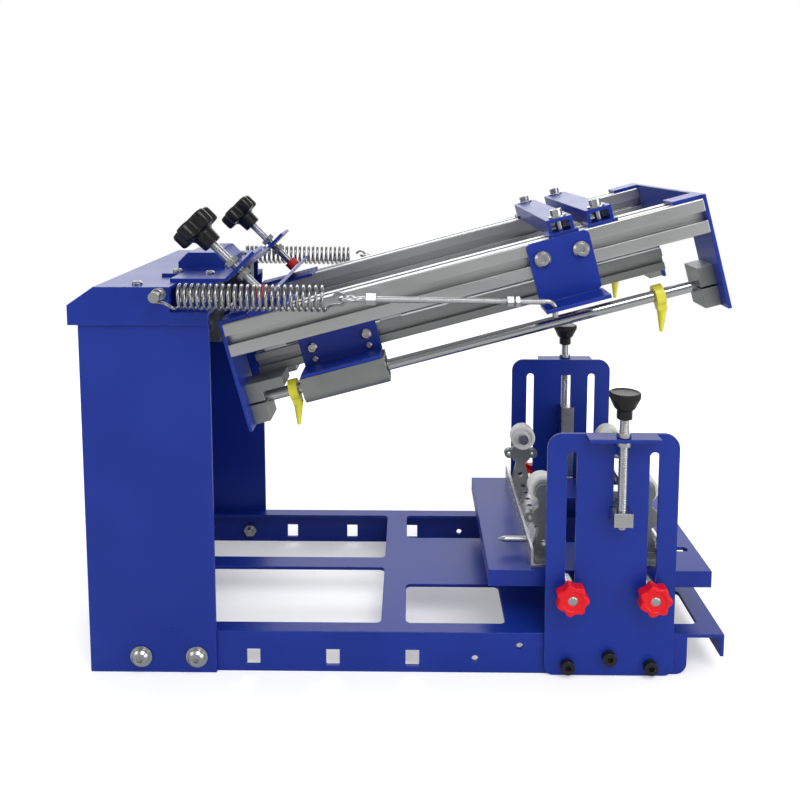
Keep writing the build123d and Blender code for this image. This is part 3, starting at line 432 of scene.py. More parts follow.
def from_srgb(red, green, blue):
    """A colour written as 0..255 screen values, as linear light."""
    levels = np.array([red, green, blue]) / 255.0
    linear = np.where(levels <= 0.04045, levels / 12.92, ((levels + 0.055) / 1.055) ** 2.4)
    return tuple(float(v) for v in linear)


print("screen grey 128 is", round(from_srgb(128, 128, 128)[0], 3), "in linear light")

# %% [markdown]
# ### The recipe itself
# The bump is shallow, and the rounded normal of the edges goes in under it. Bars add their drawn
# lines to the grain before the bump. Values that never change over a surface, such as the coat, stay
# on the shader's own sockets.

# %% Finish recipe
COAT_ROUGHNESS = 0.12
BUMP_DEPTH = 0.0004


def finish(
    name,
    tone,
    other_tone,
    worn_tone,
    roughness,
    roughness_spread=0.08,
    metallic=0.0,
    shine=0.5,
    coat=0.0,
    bump=0.05,
    fine_scale=900.0,
    slow_scale=14.0,
    edge_radius=0.0008,
    wear=0.6,
    lines=0.0,
    slope=0.0,
):
    """A finish: slow change between two tones, a worn tone at edges, uneven gloss and a fine bump."""
    material = bpy.data.materials.new(name)
    material.use_nodes = True
    tree = material.node_tree
    shader = tree.nodes["Principled BSDF"]
    shader.inputs["Metallic"].default_value = metallic
    shader.inputs["Specular IOR Level"].default_value = shine
    shader.inputs["Coat Weight"].default_value = coat
    shader.inputs["Coat Roughness"].default_value = COAT_ROUGHNESS
    grain = group_node(tree, grain_group, fine_scale=fine_scale, slow_scale=slow_scale)
    edge = group_node(tree, edge_group, radius=edge_radius)
    body_tone = blend_colors(tree, grain.outputs["Slow"], tone, other_tone)
    strength = add(tree, "ShaderNodeMath", operation="MULTIPLY")
    strength.inputs[1].default_value = wear
    join(tree, edge.outputs["Edge"], strength.inputs[0])
    shown = blend_colors(tree, strength.outputs[0], body_tone, worn_tone)
    join(tree, shown, shader.inputs["Base Color"])
    rough = add(tree, "ShaderNodeMapRange")
    rough.inputs["To Min"].default_value = roughness - roughness_spread
    rough.inputs["To Max"].default_value = roughness + roughness_spread
    join(tree, grain.outputs["Slow"], rough.inputs["Value"])
    join(tree, rough.outputs["Result"], shader.inputs["Roughness"])
    relief = add(tree, "ShaderNodeBump", strength=bump, distance=BUMP_DEPTH)
    join(tree, edge.outputs["Rounded Normal"], relief.inputs["Normal"])
    if lines > 0.0:
        drawn = group_node(tree, lines_group, slope=(0.0, slope, 0.0))
        height = add(tree, "ShaderNodeMath", operation="MULTIPLY_ADD")
        height.inputs[1].default_value = lines
        join(tree, drawn.outputs["Line"], height.inputs[0])
        join(tree, grain.outputs["Height"], height.inputs[2])
        join(tree, height.outputs[0], relief.inputs["Height"])
    else:
        join(tree, grain.outputs["Height"], relief.inputs["Height"])
    join(tree, relief.outputs["Normal"], shader.inputs["Normal"])
    return material


# %% [markdown]
# ## The finishes of the press
# Most of it is sheet steel in a deep blue powder coat with a good gloss, so the tops pick up a pale
# lavender from the white room. The beams and rails are natural anodised aluminium, with the lines
# of the die along them. The carriage's rails have a darker copy of it, which is painted shade: they
# stand in the shade under the front beam.

# %% Paint and anodised bars
blue_paint = finish(
    "blue_powder_coat",
    from_srgb(17, 42, 132),
    from_srgb(22, 49, 146),
    from_srgb(80, 98, 180),
    roughness=0.32,
    roughness_spread=0.05,
    shine=0.28,
    coat=0.04,
    bump=0.10,
    fine_scale=1100.0,
    edge_radius=0.0012,
    wear=0.55,
)
anodised = finish(
    "anodised_aluminium",
    (0.56, 0.57, 0.57),
    (0.66, 0.67, 0.67),
    (0.88, 0.88, 0.88),
    roughness=0.34,
    metallic=1.0,
    bump=0.08,
    lines=1.6,
    slope=HEAD_RISE,
)
# The carriage rails' copy is darker as painted shade, for the shade under the front beam.
painted_shade_anodised = finish(
    "carriage_rail_aluminium_painted_shade",
    (0.30, 0.31, 0.31),
    (0.38, 0.39, 0.39),
    (0.70, 0.70, 0.70),
    roughness=0.36,
    metallic=1.0,
    bump=0.08,
    lines=1.6,
    slope=HEAD_RISE,
)
print("paint", blue_paint.name, "and bars", anodised.name, painted_shade_anodised.name)

# %% [markdown]
# ### Bare metals
# The castings are matt grey and sandy. The guide rods are hard chromed and almost a mirror. Screws
# are zinc plated, the springs are polished wire, the bolts at the foot of the slotted plates are
# blackened, and the bushes of the head's shaft are bronze.

# %% Bare metals
cast = finish(
    "cast_aluminium",
    (0.24, 0.26, 0.25),
    (0.33, 0.35, 0.34),
    (0.66, 0.67, 0.66),
    roughness=0.46,
    roughness_spread=0.10,
    metallic=0.85,
    bump=0.30,
    fine_scale=700.0,
    slow_scale=30.0,
)
chrome = finish(
    "hard_chrome",
    (0.50, 0.51, 0.52),
    (0.57, 0.58, 0.59),
    (0.78, 0.78, 0.78),
    roughness=0.10,
    roughness_spread=0.03,
    metallic=1.0,
    bump=0.02,
    lines=0.6,
    slope=HEAD_RISE,
)
zinc = finish(
    "zinc_plate",
    (0.50, 0.51, 0.52),
    (0.62, 0.62, 0.62),
    (0.80, 0.80, 0.80),
    roughness=0.30,
    metallic=1.0,
    bump=0.06,
    slow_scale=60.0,
    edge_radius=0.0005,
)
spring_wire = finish(
    "spring_wire",
    (0.34, 0.34, 0.35),
    (0.46, 0.46, 0.46),
    (0.66, 0.66, 0.66),
    roughness=0.22,
    metallic=1.0,
    bump=0.04,
    slow_scale=90.0,
    edge_radius=0.0003,
)
black_oxide = finish(
    "black_oxide",
    (0.022, 0.022, 0.026),
    (0.040, 0.040, 0.045),
    (0.20, 0.20, 0.21),
    roughness=0.38,
    metallic=0.7,
    bump=0.06,
    slow_scale=70.0,
    edge_radius=0.0005,
)
bronze = finish(
    "bearing_bronze",
    (0.50, 0.33, 0.13),
    (0.58, 0.40, 0.17),
    (0.72, 0.55, 0.30),
    roughness=0.34,
    metallic=1.0,
)
print("bare metals", [m.name for m in (cast, chrome, zinc, spring_wire, black_oxide, bronze)])

# %% [markdown]
# ### Plastics, rubber and nylon
# Knobs and collars are moulded, so their edges are small and round and wear only a little. Rubber
# scatters light, and nylon is a dull white.

# %% Plastics
black_plastic = finish(
    "black_moulding",
    (0.006, 0.006, 0.007),
    (0.011, 0.011, 0.012),
    (0.060, 0.060, 0.065),
    roughness=0.24,
    bump=0.08,
    fine_scale=1500.0,
    shine=0.35,
    edge_radius=0.0006,
    wear=0.35,
)
red_plastic = finish(
    "red_moulding",
    from_srgb(212, 10, 26),
    from_srgb(224, 18, 34),
    from_srgb(238, 84, 90),
    roughness=0.28,
    bump=0.06,
    fine_scale=1500.0,
    shine=0.3,
    edge_radius=0.0006,
    wear=0.35,
)
yellow_plastic = finish(
    "yellow_moulding",
    from_srgb(206, 200, 46),
    from_srgb(222, 214, 62),
    from_srgb(240, 236, 140),
    roughness=0.34,
    bump=0.06,
    fine_scale=1500.0,
    edge_radius=0.0006,
    wear=0.35,
)
red_rubber = finish(
    "red_rubber",
    from_srgb(178, 28, 30),
    from_srgb(196, 40, 40),
    from_srgb(206, 84, 80),
    roughness=0.62,
    bump=0.20,
    wear=0.3,
)
nylon = finish(
    "white_nylon",
    (0.66, 0.66, 0.64),
    (0.74, 0.74, 0.72),
    (0.84, 0.84, 0.83),
    roughness=0.42,
    bump=0.06,
    slow_scale=40.0,
    wear=0.3,
)
print("plastics", [m.name for m in (black_plastic, red_plastic, yellow_plastic, red_rubber, nylon)])

# %% [markdown]
# ## A finish for every part
# Each part of the construction names the stuff it is made of, so a small table from that name to a
# finish dresses them all. The carriage's rails then get the darker copy of the beams' finish, which
# paints in the shade that falls on them under the front beam.

# %% Give each node its finish
FINISH_OF_SLOT = {
    "blue_paint": blue_paint,
    "aluminium": anodised,
    "cast_aluminium": cast,
    "chrome": chrome,
    "steel": zinc,
    "spring_steel": spring_wire,
    "bronze": bronze,
    "black_oxide": black_oxide,
    "black_plastic": black_plastic,
    "red_plastic": red_plastic,
    "yellow_plastic": yellow_plastic,
    "red_rubber": red_rubber,
    "nylon": nylon,
}
slot_of_node = {part["node"]: part["material_slot"] for part in frame["record"]["subparts"]}
for name, node in nodes.items():
    node.data.materials.clear()
    node.data.materials.append(FINISH_OF_SLOT[slot_of_node[name]])
# The rails take the darker copy, which paints in the shade under the front beam.
nodes["carriage_rails"].data.materials[0] = painted_shade_anodised
print("dressed", len(nodes), "nodes")

# %% [markdown]
# ## Turned shapes with lobes
# Hand knobs are the pieces that a hand meets, so their curves matter. Each is a turned shape: a side
# profile carried round an axis. A lobed knob adds a ripple to the radius, strongest at the rim and
# gone at the hub. The whole surface is one formula of two parameters, the place on the profile and
# the angle round the axis, so numpy works it out in one go.

# %% Turned shapes
MM = 0.001
ROW_SHIFT = -3.75
FULL_TURN = 2 * math.pi
CORNER_STEPS = 6
CORNER_SHARE = 0.49
MERGE_DISTANCE = 1e-7


def row_point(x, y, z):
    """A place in the press's own drawing, in millimetres, as metres in the row's frame."""
    return np.array([(x + ROW_SHIFT) * MM, y * MM, z * MM])


def rounded_profile(corners):
    """A profile through corners (radius, height, reach), each rounded by a quadratic curve.

    The curve (1-t)^2 a + 2t(1-t) b + t^2 c runs between two points at that reach on either side."""
    corners = np.asarray(corners, dtype=float)
    before, corner, after = corners[:-2, :2], corners[1:-1, :2], corners[2:, :2]
    reach = corners[1:-1, 2:3]
    back = before - corner
    ahead = after - corner
    back_length = np.linalg.norm(back, axis=1, keepdims=True)
    ahead_length = np.linalg.norm(ahead, axis=1, keepdims=True)
    enter = corner + back / back_length * np.minimum(reach, back_length * CORNER_SHARE)
    leave = corner + ahead / ahead_length * np.minimum(reach, ahead_length * CORNER_SHARE)
    enter, corner, leave = enter[:, None], corner[:, None], leave[:, None]
    t = np.linspace(0.0, 1.0, CORNER_STEPS)[None, :, None]
    curve = (1 - t) ** 2 * enter + 2 * t * (1 - t) * corner + t**2 * leave
    return np.concatenate([corners[:1, :2], curve.reshape(-1, 2), corners[-1:, :2]])


def outward(piece):
    """Merges doubled points and turns every face outwards."""
    work = bmesh.new()
    work.from_mesh(piece.data)
    bmesh.ops.remove_doubles(work, verts=work.verts, dist=MERGE_DISTANCE)
    bmesh.ops.recalc_face_normals(work, faces=work.faces)
    work.to_mesh(piece.data)
    work.free()


def round_axis(radius, height, origin, axes):
    """Rings (r cos a, r sin a, h) round an axis, for radii in rows of equal angles, as points."""
    angle = np.arange(radius.shape[1]) * FULL_TURN / radius.shape[1]
    height = np.broadcast_to(height[:, None], radius.shape)
    local = np.stack([radius * np.cos(angle), radius * np.sin(angle), height], axis=-1)
    return np.asarray(origin) + local.reshape(-1, 3) * MM @ np.asarray(axes)


def turned(name, profile, origin, axes, segments, lobes=0, depth=0.0, ripple=1.0, sharpness=1.0):
    """A turned shape: radius r(s) * (1 - depth * ripple(s) * dip(a)) at height h(s) on the axis.

    dip is 0 on a lobe and 1 between two lobes, and sharpness above 1 makes the lobes wider."""
    angle = np.arange(segments) * FULL_TURN / segments
    dip = (0.5 - 0.5 * np.cos(lobes * angle)) ** sharpness
    strength = np.broadcast_to(ripple, len(profile))[:, None]
    radius = profile[:, :1] * (1.0 - depth * strength * dip)
    points = round_axis(radius, profile[:, 1], origin, axes)
    piece = mesh_object(name, points, grid_faces(len(profile), segments, closed=True))
    outward(piece)
    return piece


def give(piece, material, slot, body, *replaced):
    """Gives a new piece its material, its body and the nodes it stands for. The slot is not used."""
    piece.data.materials.append(material)
    if body is not None:
        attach(piece, body)
    if replaced:
        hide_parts(*replaced)


print("the drawing's origin is at", row_point(0, 0, 0), "in the frame")

# %% [markdown]
# ## Star knobs of the stop screws
# Two black knobs sit on long studs above the column and set how far the head comes up. Each has five
# round lobes, a slightly dished face and a slim hub. They lean at 45 degrees, so their axes are given
# as three directions.

# %% Star knobs
SIDES = {"front": -1, "rear": 1}
SLANT = math.sqrt(0.5)
SLANTED_AXES = ((-SLANT, 0.0, -SLANT), (0.0, 1.0, 0.0), (SLANT, 0.0, -SLANT))
STOP_Y = 90.0
STOP_LINE = 213.5
STAR_FACE_X = -182.5
STAR_LOBES = 5
STAR_HUB_RADIUS = 9.6
STAR_RIM_WIDTH = 9.0

star_profile = rounded_profile(
    [
        (0.001, 1.6, 0.0),
        (12.0, 1.2, 3.0),
        (14.5, 0.0, 1.5),
        (21.0, 0.2, 3.2),
        (21.0, 15.0, 3.0),
        (12.0, 15.2, 2.0),
        (9.6, 18.0, 2.0),
        (9.0, 29.0, 1.0),
        (4.0, 29.0, 0.0),
    ]
)
star_ripple = np.clip((star_profile[:, 0] - STAR_HUB_RADIUS) / STAR_RIM_WIDTH, 0.0, 1.0)
for side_name, side in SIDES.items():
    knob = turned(
        side_name + "_star_knob",
        star_profile,
        row_point(STAR_FACE_X, side * STOP_Y, STOP_LINE - STAR_FACE_X),
        SLANTED_AXES,
        segments=24 * STAR_LOBES,
        lobes=STAR_LOBES,
        depth=0.34,
        ripple=star_ripple,
        sharpness=1.5,
    )
    give(knob, black_plastic, "black_plastic", side_name + "_stop", side_name + "_stop_knob")
print("star knob points", len(knob.data.vertices))

# %% [markdown]
# ## Red lock knobs
# Four small red knobs clamp the lift table to the slotted plates. They have seven close lobes, a
# raised ring on the face and a bright stud end in the middle. Face and stud are turned shapes again.

# %% Lock knobs
LOCK_X = (149.0, 219.0)
LOCK_Z = 77.0
LOCK_FACE_Y = 139.4
LOCK_LOBES = 7
LOCK_HUB_RADIUS = 8.6
LOCK_RIM_WIDTH = 4.0

lock_profile = rounded_profile(
    [
        (4.2, 1.6, 0.0),
        (4.2, 0.9, 0.3),
        (8.4, 0.9, 0.6),
        (9.2, 0.0, 0.6),
        (14.4, 0.1, 2.4),
        (14.4, 10.8, 1.6),
        (8.4, 11.0, 1.2),
        (7.4, 13.0, 1.0),
        (7.4, 16.0, 0.4),
        (3.1, 16.0, 0.0),
    ]
)
lock_ripple = np.clip((lock_profile[:, 0] - LOCK_HUB_RADIUS) / LOCK_RIM_WIDTH, 0.0, 1.0)
insert_profile = rounded_profile(
    [
        (0.001, 0.6, 0.0),
        (3.2, 0.6, 0.5),
        (3.6, 1.2, 0.3),
        (4.3, 1.2, 0.2),
        (4.3, 2.2, 0.0),
    ]
)
for side_name, side in SIDES.items():
    for way, x in zip(("left", "right"), LOCK_X):
        body = f"{side_name}_{way}_lock_knob"
        origin = row_point(x, side * LOCK_FACE_Y, LOCK_Z)
        axes = ((1.0, 0.0, 0.0), (0.0, 0.0, float(side)), (0.0, -float(side), 0.0))
        knob = turned(
            body + "_grip",
            lock_profile,
            origin,
            axes,
            segments=18 * LOCK_LOBES,
            lobes=LOCK_LOBES,
            depth=0.17,
            ripple=lock_ripple,
        )
        give(knob, red_plastic, "red_plastic", body, body)
        insert = turned(body + "_insert", insert_profile, origin, axes, segments=36)
        give(insert, zinc, "steel", body)
print("lock knobs", len(SIDES) * len(LOCK_X), "with", len(knob.data.vertices), "points each")

# %% [markdown]
# ## Jack knobs
# A conical knob turns each jack screw, which lifts the table. Its upper rim has fine flutes for grip.
# They are lobes too, only many and shallow, so the same function turns this knob.

# %% Jack knobs
JACK_X = 190.0
JACK_Y = 130.5
JACK_KNOB_Z = 243.0
JACK_FLUTES = 32
JACK_WAIST_RADIUS = 11.8
JACK_RIM_WIDTH = 0.9
UPRIGHT_AXES = ((1.0, 0.0, 0.0), (0.0, 1.0, 0.0), (0.0, 0.0, 1.0))

jack_profile = rounded_profile(
    [
        (4.0, -9.0, 0.0),
        (6.5, -9.0, 0.8),
        (6.5, -1.0, 1.2),
        (8.5, 0.0, 1.2),
        (12.4, 8.4, 1.6),
        (13.0, 9.4, 0.6),
        (13.0, 13.6, 1.0),
        (11.2, 14.0, 0.9),
        (10.2, 13.2, 0.6),
        (0.001, 13.0, 0.0),
    ]
)
jack_ripple = np.clip((jack_profile[:, 0] - JACK_WAIST_RADIUS) / JACK_RIM_WIDTH, 0.0, 1.0)
for side_name, side in SIDES.items():
    knob = turned(
        side_name + "_jack_grip",
        jack_profile,
        row_point(JACK_X, side * JACK_Y, JACK_KNOB_Z),
        UPRIGHT_AXES,
        segments=6 * JACK_FLUTES,
        lobes=JACK_FLUTES,
        depth=0.05,
        ripple=jack_ripple,
    )
    give(knob, black_plastic, "black_plastic", side_name + "_jack", side_name + "_jack_knob")
print("jack knob points", len(knob.data.vertices))

# %% [markdown]
# ## Screw threads
# The jack screws and the stop studs have a real thread: the radius falls and rises once per turn, and
# the crest climbs by one pitch each time. A bump texture would be cheaper, but these screws show
# against the white, where only a true outline looks right.

# %% Threads
SCREW_RADIUS = 4.0
THREAD_DEPTH = 0.5
SCREW_PITCH = 1.5
ROWS_PER_PITCH = 6
SCREW_SIDES = 20


def capped_faces(rows, sides):
    """Quads all round a tube of rings, and one face over each of its two ends."""
    first, last = range(sides), range((rows - 1) * sides, rows * sides)
    return grid_faces(rows, sides, closed=True) + [list(first), list(last)]


def threaded(name, start, end, origin, axes):
    """A screw thread: r = radius - depth * wave(h / pitch - a / turn), a triangle from 0 to 1.

    The last pitch at either end fades to the thread's core."""
    rows = int((end - start) / SCREW_PITCH * ROWS_PER_PITCH) + 1
    height = np.linspace(start, end, rows)
    turns = np.arange(SCREW_SIDES) / SCREW_SIDES
    wave = np.abs(2 * ((height[:, None] / SCREW_PITCH - turns) % 1.0) - 1)
    fade = np.clip(np.minimum(height - start, end - height) / SCREW_PITCH, 0.0, 1.0)[:, None]
    radius = SCREW_RADIUS - THREAD_DEPTH * (1 - fade * (1 - wave))
    points = round_axis(radius, height, origin, axes)
    piece = mesh_object(name, points, capped_faces(rows, SCREW_SIDES))
    outward(piece)
    return piece


# %% [markdown]
# ### The jack screws
# Each screw hangs in the tab on top of its plate. A collar over the tab and one under it let the
# screw turn and keep it from climbing, so the table has to climb instead.

# %% Jack screws
JACK_SCREW_FOOT = 138.0
JACK_SCREW_HEAD = 252.0
COLLAR_HEIGHTS = (218.4, 210.6)

collar_profile = rounded_profile([(3.9, 0.0, 0.0), (6.2, 0.0, 0.5), (6.2, 4.0, 0.5), (3.9, 4.0, 0.0)])
for side_name, side in SIDES.items():
    body = side_name + "_jack"
    foot = row_point(JACK_X, side * JACK_Y, 0.0)
    screw = threaded(body + "_thread", JACK_SCREW_FOOT, JACK_SCREW_HEAD, foot, UPRIGHT_AXES)
    give(screw, zinc, "steel", body, body + "_screw")
    for index, rise in enumerate(COLLAR_HEIGHTS):
        lifted = collar_profile + (0.0, rise)
        collar = turned(f"{body}_collar_{index}", lifted, foot, UPRIGHT_AXES, segments=36)
        give(collar, zinc, "steel", body)
print("jack screw points", len(screw.data.vertices))

# %% [markdown]
# ### The stop studs
# The same thread, on a slanted axis, makes the studs that carry the star knobs. The place along the
# axis is counted back from the stud's lower end.

# %% Stop studs
STUD_START_X = -176.5
STUD_END_X = -122.4

stud_start = (STUD_START_X - STUD_END_X) / SLANT
for side_name, side in SIDES.items():
    tip = row_point(STUD_END_X, side * STOP_Y, STOP_LINE - STUD_END_X)
    stud = threaded(side_name + "_stop_thread", stud_start, 0.0, tip, SLANTED_AXES)
    give(stud, zinc, "steel", side_name + "_stop", side_name + "_stop_stud")
print("stop stud length", round(-stud_start, 1), "mm")

# %% [markdown]
# ## The balance springs
# Two long tension springs hold the head up. A spring is a round wire on a helix, with a hook bent at
# each end, so it is a tube carried along a path. When the head comes down, the pull rod draws the
# spring out: the turns near the anchor stay and the far hook follows the rod. Here the wire is made
# once, at rest, and stays in place.

# %% Tubes along a path
def carried_frame(path):
    """Two directions across a path, turned as little as possible from one station to the next.

    Each is the one before it less its share along the path, so only the stations are looped over."""
    tangent = np.gradient(path, axis=0)
    tangent /= np.linalg.norm(tangent, axis=1, keepdims=True)
    seed = np.cross(tangent[0], (0.0, 1.0, 0.0))
    across = [seed / np.linalg.norm(seed)]
    for direction in tangent[1:]:
        moved = across[-1] - direction * np.dot(across[-1], direction)
        across.append(moved / np.linalg.norm(moved))
    across = np.array(across)
    return across, np.cross(tangent, across)


def tube(name, path, radius, sides):
    """A tube on a path in metres: each ring is path + radius * (cos a across + sin a beside).

    The radius is one number, or one for every station and angle where the tube has a relief."""
    across, beside = carried_frame(path)
    angle = (np.arange(sides) * FULL_TURN / sides)[None, :, None]
    ring = across[:, None] * np.cos(angle) + beside[:, None] * np.sin(angle)
    radius = np.broadcast_to(radius, (len(path), sides))[:, :, None]
    piece = mesh_object(name, path[:, None] + radius * ring, capped_faces(len(path), sides))
    outward(piece)
    return piece


def ease_between(start, start_way, end, end_way, reach, steps):
    """A cubic Bezier from start to end that leaves and arrives along the two given directions."""
    first = np.asarray(start) + np.asarray(start_way) * reach
    second = np.asarray(end) - np.asarray(end_way) * reach
    t = np.linspace(0.0, 1.0, steps)[1:-1, None]
    near_start = (1 - t) ** 3 * start + 3 * t * (1 - t) ** 2 * first
    return near_start + 3 * t**2 * (1 - t) * second + t**3 * np.asarray(end)


# %% [markdown]
# ### The line that a spring pulls along
# Each spring hangs between its anchor on the column and the hook of its rod in the head's bracket.
# The hook's place is known on the level head, so it is first turned about the head's shaft.

# %% The line of the springs
ANCHOR = (-198.0, 338.0)
PULL_Y = 138.0
PIVOT = (-172.0, 300.0)
HOOK_LOCAL = (300.0, -45.0)

head_cos, head_sin = math.cos(HEAD_RISE), math.sin(HEAD_RISE)
hook_x = PIVOT[0] + HOOK_LOCAL[0] * head_cos - HOOK_LOCAL[1] * head_sin
hook_z = PIVOT[1] + HOOK_LOCAL[0] * head_sin + HOOK_LOCAL[1] * head_cos
pull_length = math.hypot(hook_x - ANCHOR[0], hook_z - ANCHOR[1])
fall = math.atan2(ANCHOR[1] - hook_z, hook_x - ANCHOR[0])
pull_axes = np.array(
    [
        [math.cos(fall), 0.0, -math.sin(fall)],
        [0.0, 1.0, 0.0],
        [math.sin(fall), 0.0, math.cos(fall)],
    ]
)


def on_pull_line(points, side):
    """Puts points in millimetres along the pull line into the row's frame."""
    anchor = row_point(ANCHOR[0], side * PULL_Y, ANCHOR[1])
    return anchor + np.asarray(points) * MM @ pull_axes


print("pull line", round(pull_length, 2), "mm")

# %% [markdown]
# ### The wire
# Both ends of a helix point across the spring, and the hooks point along it, so a short easing curve
# joins them. The whole wire is one path of points, and the tube function gives it its thickness.

# %% Springs
COIL_RADIUS = 9.9
COIL_TURNS = 24
COIL_START = 17.0
COIL_END = 139.0
COIL_WAY = (0.1, 1, 0)
STEPS_PER_TURN = 26
HOOK_RADIUS = 5.0
LEFT_HOOK_X = 0.9
RIGHT_HOOK_X = COIL_END + 12.0
HOOK_STEPS = 26
LEAD_REACH = 9.0
LEAD_STEPS = 14
ALONG = (1, 0, 0)
WIRE_RADIUS = 1.3
WIRE_SIDES = 12


def hook_arc(centre, first, last):
    """Part of a hook: a circle arc in the upright plane, from one angle to another in degrees."""
    angle = np.radians(np.linspace(first, last, HOOK_STEPS))
    x, z = centre + HOOK_RADIUS * np.cos(angle), HOOK_RADIUS * np.sin(angle)
    return np.stack([x, 0 * angle, z], axis=1)


def spring_path():
    """Left hook, easing curve, helix, easing curve, right hook."""
    turns = np.linspace(0.0, COIL_TURNS, COIL_TURNS * STEPS_PER_TURN)
    angle = FULL_TURN * turns - math.pi / 2
    helix = np.stack(
        [
            COIL_START + (COIL_END - COIL_START) * turns / COIL_TURNS,
            COIL_RADIUS * np.cos(angle),
            COIL_RADIUS * np.sin(angle),
        ],
        axis=1,
    )
    left = hook_arc(LEFT_HOOK_X, 20.0, 270.0)
    right = hook_arc(RIGHT_HOOK_X, 270.0, 520.0)
    lead_in = ease_between(left[-1], ALONG, helix[0], COIL_WAY, LEAD_REACH, LEAD_STEPS)
    lead_out = ease_between(helix[-1], COIL_WAY, right[0], ALONG, LEAD_REACH, LEAD_STEPS)
    return np.concatenate([left, lead_in, helix, lead_out, right])


for side_name, side in SIDES.items():
    wire_path = on_pull_line(spring_path(), side)
    spring = tube(side_name + "_spring_wire", wire_path, WIRE_RADIUS * MM, WIRE_SIDES)
    give(spring, spring_wire, "spring_steel", None)
    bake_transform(spring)
    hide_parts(side_name + "_spring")
print("spring wire points", len(spring.data.vertices))

# %% [markdown]
# ## The pull rods
# From the spring's hook a bent eye leads into a rod with a cut thread and two nuts, which ends in a
# hook through the bracket's lip. The eye and hook are one tube, whose radius carries the thread.

# %% Pull rods
EYE_CENTRE = COIL_END + 19.0
EYE_RADIUS = 6.2
NECK_END = EYE_CENTRE + 12.0
NECK_REACH = 2.6
SHANK_STEPS = 720
HOOK_BEND = 7.0
ROD_SIDES = 16
ROD_THREAD_DEPTH = 0.35
ROD_PITCH = 1.2


def pull_rod_path():
    """A nearly closed eye, an easing neck, a straight shank and a quarter bend down into the lip."""
    angle = np.radians(np.linspace(20.0, 322.0, 60))
    eye_x, eye_y = EYE_CENTRE + EYE_RADIUS * np.cos(angle), EYE_RADIUS * np.sin(angle)
    eye = np.stack([eye_x, eye_y, 0 * angle], axis=1)
    arrive = (-math.sin(angle[-1]), math.cos(angle[-1]), 0.0)
    neck = ease_between(eye[-1], arrive, (NECK_END, 0, 0), ALONG, NECK_REACH, 12)
    along = np.linspace(NECK_END, pull_length - HOOK_BEND, SHANK_STEPS)
    shank = np.stack([along, 0 * along, 0 * along], axis=1)
    bend = np.radians(np.linspace(4.0, 90.0, 16))
    bend_x = pull_length - HOOK_BEND + HOOK_BEND * np.sin(bend)
    hook = np.stack([bend_x, 0 * bend, -HOOK_BEND + HOOK_BEND * np.cos(bend)], axis=1)
    tail = np.array([[pull_length, 0.0, -10.0], [pull_length, 0.0, -13.0]])
    return np.concatenate([eye, neck, shank, hook, tail])


def pull_rod_relief(path):
    """The rod's radius at every station and angle: a slow change, with a thread on the shank."""
    x, z = path[:, :1], path[:, 2:]
    plain = np.interp(x, [EYE_CENTRE + 5, NECK_END, pull_length], [1.8, 2.6, 2.4])
    straight = (x > NECK_END + 1.0) & (x < pull_length - HOOK_BEND - 2.0) & (z > -0.01)
    turns = np.arange(ROD_SIDES) / ROD_SIDES
    wave = np.abs(2 * ((x / ROD_PITCH - turns) % 1.0) - 1)
    return plain + straight * ROD_THREAD_DEPTH * (wave - 0.5)


rod_path = pull_rod_path()
rod_relief = pull_rod_relief(rod_path)
print("pull rod stations", len(rod_path))

# %% [markdown]
# ### Nuts on the rods
# A nut is a turned shape too, with only six segments. Its profile has a small chamfer at both ends,
# and it is shaded flat, so that its sides stay crisp. Rods and nuts ride on the same body.

# %% Rods and nuts
NUT_BORE_SHARE = 0.5
NUT_FACE_SHARE = 0.86
NUT_CHAMFER = 0.5

# start along the pull line, length and corner radius, in millimetres
PULL_NUTS = (
    (EYE_CENTRE + 14, 9, 5.2),
    (pull_length - 40, 6, 4.8),
    (pull_length - 33, 4, 4.8),
)
nut_axes = pull_axes[[1, 2, 0]]


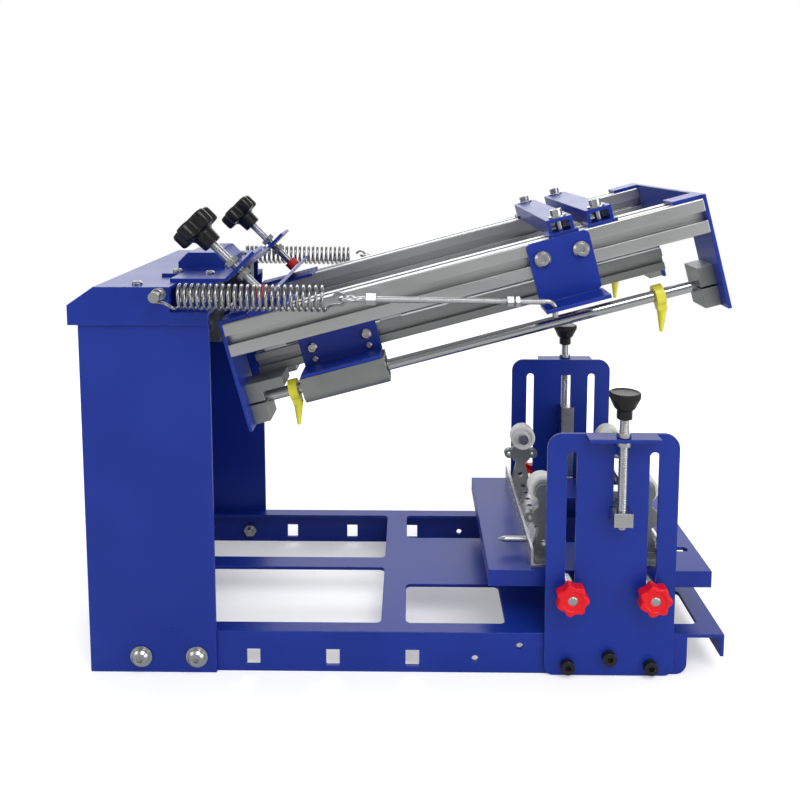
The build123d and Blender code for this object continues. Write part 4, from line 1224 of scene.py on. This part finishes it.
def hex_nut(name, origin, length, size):
    """A flat shaded nut: six segments, with the profile's corners cut at both ends."""
    bore, face = size * NUT_BORE_SHARE, size * NUT_FACE_SHARE
    lower = [(bore, 0.0), (face, 0.0), (size, NUT_CHAMFER)]
    upper = [(size, length - NUT_CHAMFER), (face, length), (bore, length)]
    nut = turned(name, np.array(lower + upper), origin, nut_axes, segments=6)
    nut.data.polygons.foreach_set("use_smooth", np.zeros(len(nut.data.polygons), dtype=bool))
    return nut


for side_name, side in SIDES.items():
    body = side_name + "_pull"
    rod_line = on_pull_line(rod_path, side)
    rod = tube(side_name + "_threaded_pull_rod", rod_line, rod_relief * MM, ROD_SIDES)
    give(rod, zinc, "steel", body, body + "_rod")
    for index, (start, length, size) in enumerate(PULL_NUTS):
        nut = hex_nut(f"{body}_nut_{index}", on_pull_line((start, 0, 0), side), length, size)
        give(nut, zinc, "steel", body)
print("pull rod points", len(rod.data.vertices), "and nuts", len(SIDES) * len(PULL_NUTS))

# %% [markdown]
# ## The nylon rollers
# Each roller is turned from white nylon: a flat tread with rounded shoulders and a shallow groove in
# each face. A plain turned profile gives it all, with the bore left open for the axle.

# %% Rollers
ROLLER_X = (133.0, 226.0)
ROLLER_Y = 66.0
ROLLER_Z = 147.0
ACROSS_AXES = ((1.0, 0.0, 0.0), (0.0, 0.0, 1.0), (0.0, 1.0, 0.0))
roller_profile = rounded_profile(
    [
        (3.06, -7.5, 0.0),
        (6.0, -7.5, 0.3),
        (6.2, -6.2, 0.3),
        (9.3, -6.2, 0.3),
        (9.5, -7.5, 0.3),
        (13.0, -7.5, 1.6),
        (13.0, 7.5, 1.6),
        (9.5, 7.5, 0.3),
        (9.3, 6.2, 0.3),
        (6.2, 6.2, 0.3),
        (6.0, 7.5, 0.3),
        (3.06, 7.5, 0.0),
    ]
)
roller_profile = np.concatenate([roller_profile, roller_profile[:1]])
for side_name, side in SIDES.items():
    for way, x in zip(("left", "right"), ROLLER_X):
        body = f"{side_name}_{way}_roller"
        centre = row_point(x, side * ROLLER_Y, ROLLER_Z)
        wheel = turned(body + "_tread", roller_profile, centre, ACROSS_AXES, segments=64)
        give(wheel, nylon, "nylon", body, body)
print("rollers", len(SIDES) * len(ROLLER_X), "with", len(wheel.data.vertices), "points each")
